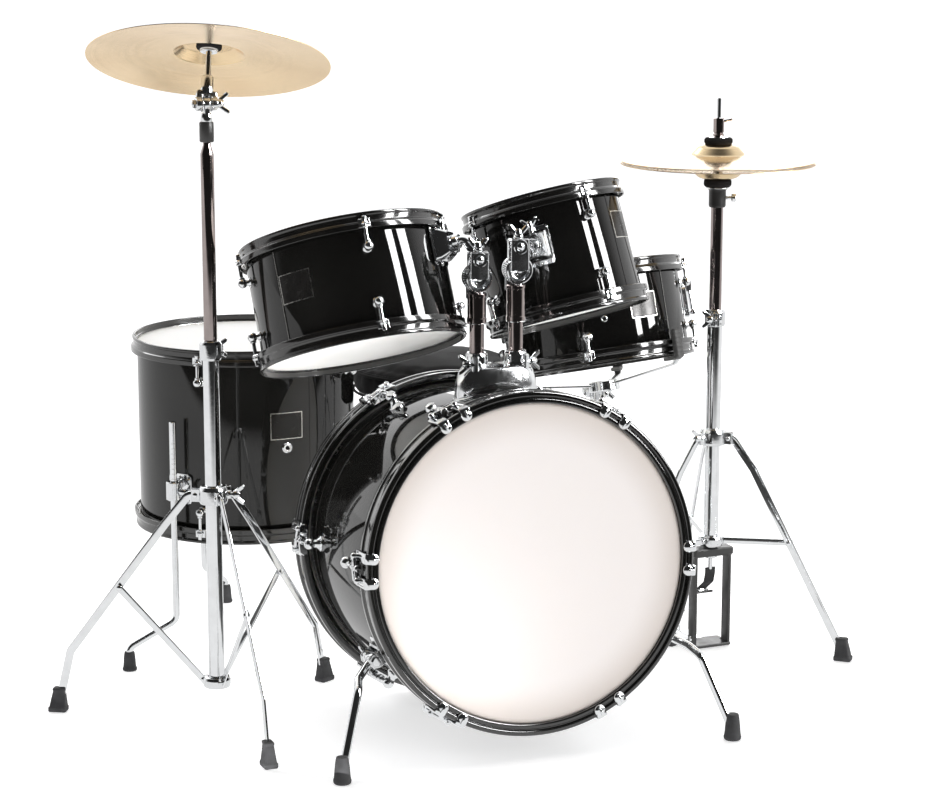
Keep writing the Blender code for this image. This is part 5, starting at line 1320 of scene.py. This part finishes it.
# snare stand
S0 = Vector((291.0, 512.0, 0))
tripod_looks("snare_stand_legs", "kit", "snare_stand_tripod", S0, (60, 180, 300), [(17, 176), (34, 174), (62, 148), (134, 12)], 12, 3.6, 178, 10.4, ((16, 62), (92, 92)), low=60, wing_az=-30.0).make()
sb = Piece("snare_stand_base_pipe", "kit", replaces=("snare_stand_base_tube",))
sb.add(CHROME, ring(S0 + UPZ * 54, S0 + UPZ * 244, 10.4, 8.7, 52))
clamp(sb, S0, 240, 262, 8.7, 13.6, -20.0)
sb.add(RUBBER, cyl(S0 + UPZ * 51, S0 + UPZ * 57, 9.6, 30))
sb.make()
SP = S0 + UPZ * 352
su = Piece("snare_stand_upper_pipe", "snare_mast", replaces=("snare_stand_upper_tube",))
su.add(CHROME, cyl(S0 + UPZ * 190, S0 + UPZ * 336, 8.4, 48))
su.add(CHROME_SOFT, lathe([(0, 318), (9.6, 318), (10.4, 320), (10.2, 333), (8.6, 337.5), (0, 338)], T(S0), 44))
su.add(CHROME_SOFT, box((11.6, 18, 27), T(SP + Vector((0, 0, -6.0))), b=1.4, r=2.6))
su.add(CHROME_SOFT, cyl(SP - XA * 6.2, SP + XA * 6.2, 9.0, 44, ch=0.8))
su.make()
hub = SNARE[0] - axS * 27.0
bk = Piece("snare_stand_basket", "snare", replaces=("snare_basket",))
bk.add(CHROME_SOFT, lathe(rounded([(0.01, -8.5), (20.5, -8.5), (22, -6.5), (22, 4.5), (20.0, 7.0), (0.01, 7.0)], 1.4, 3), frame_matrix(hub, axS), 52) if False else lathe([(0, -8.5), (20.3, -8.5), (22, -6.8), (22, 4.8), (20.4, 6.8), (0, 7.0)], frame_matrix(hub, axS), 52))
bk.add(CHROME, *wing(frame_matrix(hub - axS * 9.6, -axS), 12.0, 12.0, 3.2, 5.2))
for s in (-1, 1):
    bk.add(CHROME_SOFT, cyl(SP + XA * (s * 6.8), SP + XA * (s * 15.6), 8.8, 40, ch=1.0))
    bk.add(CHROME_SOFT, strip([SP + XA * (s * 11.2), hub + XA * (s * 11.2)], XA, 8.6, 11.5, bend=0, r=1.6))
    for q in range(20):
        a = math.radians(18 * q)
        nn = Vector((0, math.cos(a), math.sin(a)))
        bk.add(CHROME_SOFT, box((1.5, 1.0, 2.2), frame_matrix(SP + XA * (s * 8.2) + nn * 8.6, nn, XA), b=0.25, r=0.25))
bk.add(CHROME, *wing(frame_matrix(SP + XA * 16.4, XA, (0, 0, 1)), 13.0, 14.0, 3.2, 5.2))
bk.add(CHROME, hexnut(SP - XA * 17.2, XA, 10.0, 4.0))
for az in (-62, 58, 178):
    o_ = atS(az, 1, 0) - atS(az, 0, 0)
    sd = atS(az + 90, 1, 0) - atS(az, 0, 0)
    low = [hub + o_ * 12, atS(az, 131, -13), atS(az, 141.5, -3), atS(az, 141.5, 31)]
    bk.add(CHROME, strip(low, sd, 10.0, 3.6, bend=9, k=6, r=0.9))
    # ribbed rubber grip, seen just above the lower hoop
    bk.add(GREY_RUBBER, box((8.6, 14.4, 40), frame_matrix(atS(az, 141.3, 14), axS, o_), b=1.8, r=2.6))
    for q in range(5):
        bk.add(GREY_RUBBER, box((9.6, 15.0, 1.8), frame_matrix(atS(az, 141.3, 2 + q * 6.4), axS, o_), b=0.5, r=2.4))
    bk.add(GREY_RUBBER, box((24, 14.4, 5.6), frame_matrix(atS(az, 129.4, -5.0), axS, o_), b=1.4, r=2.6))
bk.make()

# =============================================================================================== bass pedal
PY = 338.0
pf = Piece("bass_pedal_frame", "kit", replaces=("pedal_frame",))
pf.add(PAINT, box((95, 24, 5.6), T(0, PY + 10, 3.4), b=1.0, r=3.0))
for s in (-1, 1):
    x = s * 42.0
    pf.add(PAINT, strip([Vector((x, PY + 10, 5)), Vector((x, PY + 10, 120.5))], (0, 1, 0), 17.6, 7.2, bend=0, r=2.2))
    pf.add(CHROME_SOFT, ring(Vector((x - s * 4.6, PY + 10, 112)), Vector((x + s * 4.8, PY + 10, 112)), 9.6, 5.4, 40, 1.0))
    pf.add(CHROME, hexnut(Vector((x + s * 5.6, PY + 10, 100)), (1, 0, 0), 8.0, 3.0))
pf.add(CHROME, box((12, 196, 3.2), T(0, PY + 110, 3.8), b=0.8, r=3.0))
pf.add(PAINT, box((63, 38, 5.2), T(0, PY + 210, 3.8), b=1.0, r=4.0))
pf.add(PAINT, box((59, 5.4, 13), T(0, PY + 227, 10.0), b=1.0, r=1.8))
# hoop clamp wing, and the return spring beside the right post
pf.add(CHROME, *wing(frame_matrix(Vector((22, PY + 8, 9)), (0, 0, 1), (0, 1, 0)), 11.0, 11.0, 3.0, 4.8, stem=4.0))
pf.add(STEEL, helix(Vector((51.5, PY + 10, 34)), (0, 0, 1), 5.0, 12, 4.0, 0.75, 8, 18))
pf.add(CHROME, rod([Vector((51.5, PY + 10, 14)), Vector((51.5, PY + 10, 36))], 2.0, 16), rod([Vector((51.5, PY + 10, 80)), Vector((51.5, PY + 10, 97)), Vector((47.0, PY + 10, 103))], 1.6, 12, bend=3))
pf.add(CHROME, box((12, 10, 4), T(47.5, PY + 10, 15.0), b=0.8, r=2.0))
for s in (-1, 1):
    pf.add(RUBBER, cyl(Vector((s * 40, PY + 10, 0)), Vector((s * 40, PY + 10, 2.6)), 5.6, 24), cyl(Vector((s * 24, PY + 216, 0)), Vector((s * 24, PY + 216, 2.6)), 5.6, 24))
pf.make()
PH, PT = Vector((0, PY + 218, 19)), Vector((0, PY + 40, 62))
fb2, d2, n2 = foot_board("bass_pedal_footboard", "bass_pedal", "pedal_footboard", PH, PT, 60.0, Vector((1, 0, 0)))
fb2.add(CHROME_SOFT, box((18, 12, 5), frame_matrix(PT - d2 * 6 + n2 * 3.2, n2, XA), b=1.0, r=2.0))
fb2.make()
PA = Vector((0, PY + 10, 112))
be = Piece("bass_pedal_beater", "beater", replaces=("pedal_beater",))
be.add(CHROME, cyl(PA - XA * 37.0, PA + XA * 37.0, 5.0, 36))
be.add(CHROME_SOFT, cyl(PA - XA * 9, PA + XA * 9, 13.6, 48, ch=1.2))
for q in range(22):
    a = math.radians(q * 360 / 22)
    nn = Vector((0, math.cos(a), math.sin(a)))
    be.add(STEEL, box((2.2, 7.5, 1.6), frame_matrix(PA + nn * 13.9, nn, XA) @ Matrix.Rotation(math.pi / 2, 4, "Z"), b=0.3, r=0.4))
be.add(CHROME_SOFT, box((11, 12, 16), frame_matrix(PA + Vector((13.5, 0, 0)), XA, (0, 0.54, 0.84)), b=1.2, r=2.4))
bd_ = Vector((0, 62, 96)).normalized()
be.add(CHROME, rod([PA - bd_ * 6, PA + bd_ * 114.0], 2.9, 20))
fa = (Vector((0, 82, 82)) - Vector((0, 44, 106))).normalized()
mf = frame_matrix(PA + Vector((0, 44, 106)), fa)
Lf = 44.9
be.add(FELT_WHITE, lathe([(0, 0), (14, 0), (17.8, 1.4), (19.0, 4.6), (19.0, Lf - 15), (17.6, Lf - 8), (13, Lf - 2.4), (7, Lf - 0.4), (0, Lf)], mf, 56))
be.add(NYLON, lathe([(0, -0.8), (11, -0.8), (12.6, 0.2), (12.6, 1.2), (0, 1.2)], mf, 44))
be.make()

# =============================================================================================== throne
THRONE = Vector((118.0, 699.0, 0))
SEAT_R, SEAT_Z = 133.0, 378.0
tripod_looks("throne_legs", "kit", "throne_base", THRONE, (60, 180, 300), [(20, 196), (40, 192), (70, 160), (153, 14)], 14, 4.0, 196, 12.4, ((19, 70), (108, 92)), foot_r=12.0, low=66, wing_az=-10.0).make()
tt = Piece("throne_outer_tube", "kit", replaces=("throne_tube",))
tt.add(CHROME, ring(THRONE + UPZ * 58, THRONE + UPZ * 267.6, 12.4, 10.4, 56))
tt.make()
tp = Piece("throne_inner_post", "throne_mast", replaces=("throne_post",))
tp.add(CHROME, cyl(THRONE + UPZ * 200, THRONE + UPZ * (SEAT_Z - 54.2), 10.1, 56))
tp.add(CHROME_SOFT, lathe([(0, 268.6), (14.6, 268.6), (16, 270), (16, 280), (14.2, 282), (0, 282)], T(THRONE), 52))
tp.add(CHROME, *wing(frame_matrix(THRONE + Vector((17.5, 3, 275.4)), (1, 0.17, 0), (0, 0, 1)), 11.0, 12.0, 3.0, 4.8, stem=3.0))
# a row of black felt discs on the post: painted shade standing in for its height holes
for q in range(6):
    tp.add(FELT_BLACK, cyl(THRONE + Vector((-8.9, -2.6, 288 + q * 6)), THRONE + Vector((-10.35, -3.05, 288 + q * 6)), 2.0, 16))
tp.make()


def seat_cushion():
    """A round stool top: foam crowned under vinyl, swelling between the top piping and the underside ring."""
    base_z, top_z_ = SEAT_Z - 46.0, SEAT_Z - 5.5
    n = 96
    prof = [(0, base_z), (SEAT_R - 20, base_z), (SEAT_R - 12, base_z + 1.0), (SEAT_R - 7.5, base_z + 5), (SEAT_R - 6.5, base_z + 12), (SEAT_R - 6.5, top_z_ - 12), (SEAT_R - 8.0, top_z_ - 5), (SEAT_R - 14, top_z_ - 1), (SEAT_R - 30, top_z_ + 0.6), (0, top_z_ + 1.2)]
    v, f = lathe(rounded(prof, 6, 4), T(THRONE), n)
    v = (np.asarray(v) + SHIFT) * MM
    me = bpy.data.meshes.new("throne_cushion")
    me.from_pydata([tuple(map(float, p)) for p in v], [], f)
    o = bpy.data.objects.new("throne_cushion", me)
    scene.collection.objects.link(o)
    bm = bmesh.new()
    bm.from_mesh(me)
    bmesh.ops.recalc_face_normals(bm, faces=bm.faces[:])
    bm.to_mesh(me)
    bm.free()
    rm = o.modifiers.new("remesh", "REMESH")
    rm.mode, rm.voxel_size = "VOXEL", 0.0056
    view = bpy.context.view_layer
    view.objects.active = o
    o.select_set(True)
    bpy.ops.object.modifier_apply(modifier=rm.name)
    me = o.data
    cx, cy = (THRONE.x + SHIFT[0]) * MM, (THRONE.y + SHIFT[1]) * MM
    start = np.array([p.co[:] for p in me.vertices])
    cm = o.modifiers.new("cloth", "CLOTH")
    cs = cm.settings
    cs.quality, cs.mass = 6, 0.3
    cs.use_pressure, cs.uniform_pressure_force = True, 4.0
    cs.tension_stiffness = cs.compression_stiffness = 22.0
    cs.shear_stiffness, cs.bending_stiffness = 12.0, 0.8
    cs.effector_weights.gravity = 0.0
    cm.point_cache.frame_start, cm.point_cache.frame_end = 1, 20
    # the underside board stays put
    vg = o.vertex_groups.new(name="pin")
    r_ = np.hypot(start[:, 0] - cx, start[:, 1] - cy)
    fixed = [i for i in range(len(start)) if start[i, 2] < (base_z + 4) * MM]
    vg.add(fixed, 1.0, "REPLACE")
    cs.vertex_group_mass = "pin"
    for fr_ in range(1, 21):
        scene.frame_set(fr_)
    dg = bpy.context.evaluated_depsgraph_get()
    ev = o.evaluated_get(dg).to_mesh()
    moved = np.array([p.co[:] for p in ev.vertices])
    o.evaluated_get(dg).to_mesh_clear()
    o.modifiers.remove(cm)
    scene.frame_set(1)
    d = moved - start
    ln = np.linalg.norm(d, axis=1, keepdims=True)
    cap = 0.007
    d = np.where(ln > cap, d * (cap / np.maximum(ln, 1e-9)), d)
    pts = start + d
    pts[:, 2] = np.minimum(pts[:, 2], (SEAT_Z + 6.0) * MM)
    # crown, the ring seam that holds the top panel down, and slow puckers along it
    dx, dy = pts[:, 0] - cx, pts[:, 1] - cy
    r = np.hypot(dx, dy)
    th = np.arctan2(dy, dx)
    up_ = np.clip((pts[:, 2] / MM - (base_z + 22)) / 16.0, 0, 1)
    crown = 0.0052 * np.clip(1 - (r / (0.100)) ** 2, 0, 1)
    seam = -0.0030 * np.exp(-((r - 0.108) / 0.0038) ** 2)
    pucker = 0.0007 * np.sin(th * 34) * np.exp(-((r - 0.114) / 0.009) ** 2) + 0.0005 * np.sin(th * 7 + 1.3) * np.clip(r / 0.11, 0, 1)
    pts[:, 2] += up_ * (crown + seam + pucker)
    waist = -0.0016 * np.exp(-((pts[:, 2] / MM - (base_z + 7)) / 3.0) ** 2)
    k = np.where(r > 0.09, (waist + 0.0005 * np.sin(th * 23)) / np.maximum(r, 1e-6), 0.0)
    pts[:, 0] += dx * k
    pts[:, 1] += dy * k
    me.vertices.foreach_set("co", pts.ravel())
    me.update()
    sub = o.modifiers.new("sub", "SUBSURF")
    sub.levels = sub.render_levels = 1
    bpy.ops.object.modifier_apply(modifier=sub.name)
    o.select_set(False)
    o.data.materials.clear()
    o.data.materials.append(VINYL)
    o.data.polygons.foreach_set("use_smooth", [True] * len(o.data.polygons))
    o.data.update()
    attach(o, "seat")
    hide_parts("throne_seat")
    return o


cushion = seat_cushion()
tr_ = Piece("throne_seat_trim", "seat", slot="throne_seat")
circle = [THRONE + polar(q * 3.0, SEAT_R - 7.4, SEAT_Z - 11.0) for q in range(121)]
tr_.add(VINYL, lathe([((SEAT_R - 5.8) + 2.3 * math.cos(a), SEAT_Z - 13.5 + 2.3 * math.sin(a)) for a in np.linspace(0, 2 * math.pi, 13)[:-1]], T(THRONE), 160, closed=True))
tr_.add(VINYL, lathe([((SEAT_R - 7.0) + 2.0 * math.cos(a), SEAT_Z - 44.0 + 2.0 * math.sin(a)) for a in np.linspace(0, 2 * math.pi, 13)[:-1]], T(THRONE), 160, closed=True))
tr_.add(PAINT, lathe([(0, SEAT_Z - 49.5), (SEAT_R - 16, SEAT_Z - 49.5), (SEAT_R - 15, SEAT_Z - 48.5), (SEAT_R - 15, SEAT_Z - 45), (0, SEAT_Z - 45)], T(THRONE), 96))
tr_.add(CHROME_SOFT, box((74, 74, 3.2), T(THRONE + UPZ * (SEAT_Z - 51.0)), b=0.8, r=5.0))
tr_.add(CHROME_SOFT, lathe(rounded([(10.6, SEAT_Z - 90), (15.4, SEAT_Z - 90), (17, SEAT_Z - 87), (17, SEAT_Z - 60), (21, SEAT_Z - 52), (10.6, SEAT_Z - 52)], 1.2, 3, closed=True), T(THRONE), 52, closed=True))
tr_.add(CHROME, *wing(frame_matrix(THRONE + Vector((18.4, -3, SEAT_Z - 76)), (1, -0.17, 0), (0, 0, 1)), 11.0, 12.0, 3.0, 4.8, stem=3.0))
for sx in (-1, 1):
    for sy in (-1, 1):
        tr_.add(CHROME, rivet(THRONE + Vector((sx * 29, sy * 29, SEAT_Z - 52.4)), (0, 0, -1), 3.6, 2.0))
# the stitched line just inside the piping
for q in range(150):
    a0, a1 = q * 2.4, q * 2.4 + 1.5
    tr_.add(NYLON, rod([THRONE + polar(a0, SEAT_R - 9.6, SEAT_Z - 6.3 - 4.0), THRONE + polar((a0 + a1) / 2, SEAT_R - 9.8, SEAT_Z - 6.1 - 3.9), THRONE + polar(a1, SEAT_R - 9.6, SEAT_Z - 6.3 - 4.0)], 0.5, 6))
tr_.make()

# =============================================================================================== floor
fm, fnt, fb_ = new_mat("studio_floor")
fb_.inputs["Base Color"].default_value = (0.80, 0.80, 0.81, 1)
fb_.inputs["Roughness"].default_value = 0.55
fb_.inputs["Specular IOR Level"].default_value = 0.2
fout = [n for n in fnt.nodes if n.type == "OUTPUT_MATERIAL"][0]
flp = fnt.nodes.new("ShaderNodeLightPath")
fmul = fnt.nodes.new("ShaderNodeEmission")
fmul.inputs["Color"].default_value = (1, 1, 1, 1)
fadd = fnt.nodes.new("ShaderNodeAddShader")
fgeo = fnt.nodes.new("ShaderNodeNewGeometry")
fsep = fnt.nodes.new("ShaderNodeSeparateXYZ")
fnt.links.new(fgeo.outputs["Position"], fsep.inputs[0])
fnoise = noise(fnt, 3.0, 3.0, 0.5, fgeo.outputs["Position"])
fcol = mix(fnt, ramp(fnt, fnoise.outputs["Fac"], 0.3, 0.7, 0.0, 1.0), (0.80, 0.80, 0.81), (0.83, 0.83, 0.84))
fnt.links.new(fcol, fb_.inputs["Base Color"])
cam_glow = math_node(fnt, "MULTIPLY", flp.outputs["Is Camera Ray"], 0.60)
dif_glow = math_node(fnt, "MULTIPLY", flp.outputs["Is Diffuse Ray"], 1.7)
fnt.links.new(math_node(fnt, "ADD", cam_glow, dif_glow), fmul.inputs["Strength"])
fnt.links.new(fb_.outputs[0], fadd.inputs[0])
fnt.links.new(fmul.outputs[0], fadd.inputs[1])
femi = fnt.nodes.new("ShaderNodeEmission")
femi.inputs["Color"].default_value = (1, 1, 1, 1)
fnt.links.new(ramp(fnt, fsep.outputs["Y"], -2.4, -1.15, 0.025, 0.95, smooth=True), femi.inputs["Strength"])
fmix = fnt.nodes.new("ShaderNodeMixShader")
gl = math_node(fnt, "MULTIPLY", flp.outputs["Is Glossy Ray"], 1.0)
fnt.links.new(gl, fmix.inputs[0])
fnt.links.new(fadd.outputs[0], fmix.inputs[1])
fnt.links.new(femi.outputs[0], fmix.inputs[2])
fnt.links.new(fmix.outputs[0], fout.inputs["Surface"])
fme = bpy.data.meshes.new("floor")
fme.from_pydata([(-30, -30, -0.0004), (30, -30, -0.0004), (30, 30, -0.0004), (-30, 30, -0.0004)], [], [(0, 1, 2, 3)])
floor = bpy.data.objects.new("floor", fme)
scene.collection.objects.link(floor)
fme.materials.append(fm)
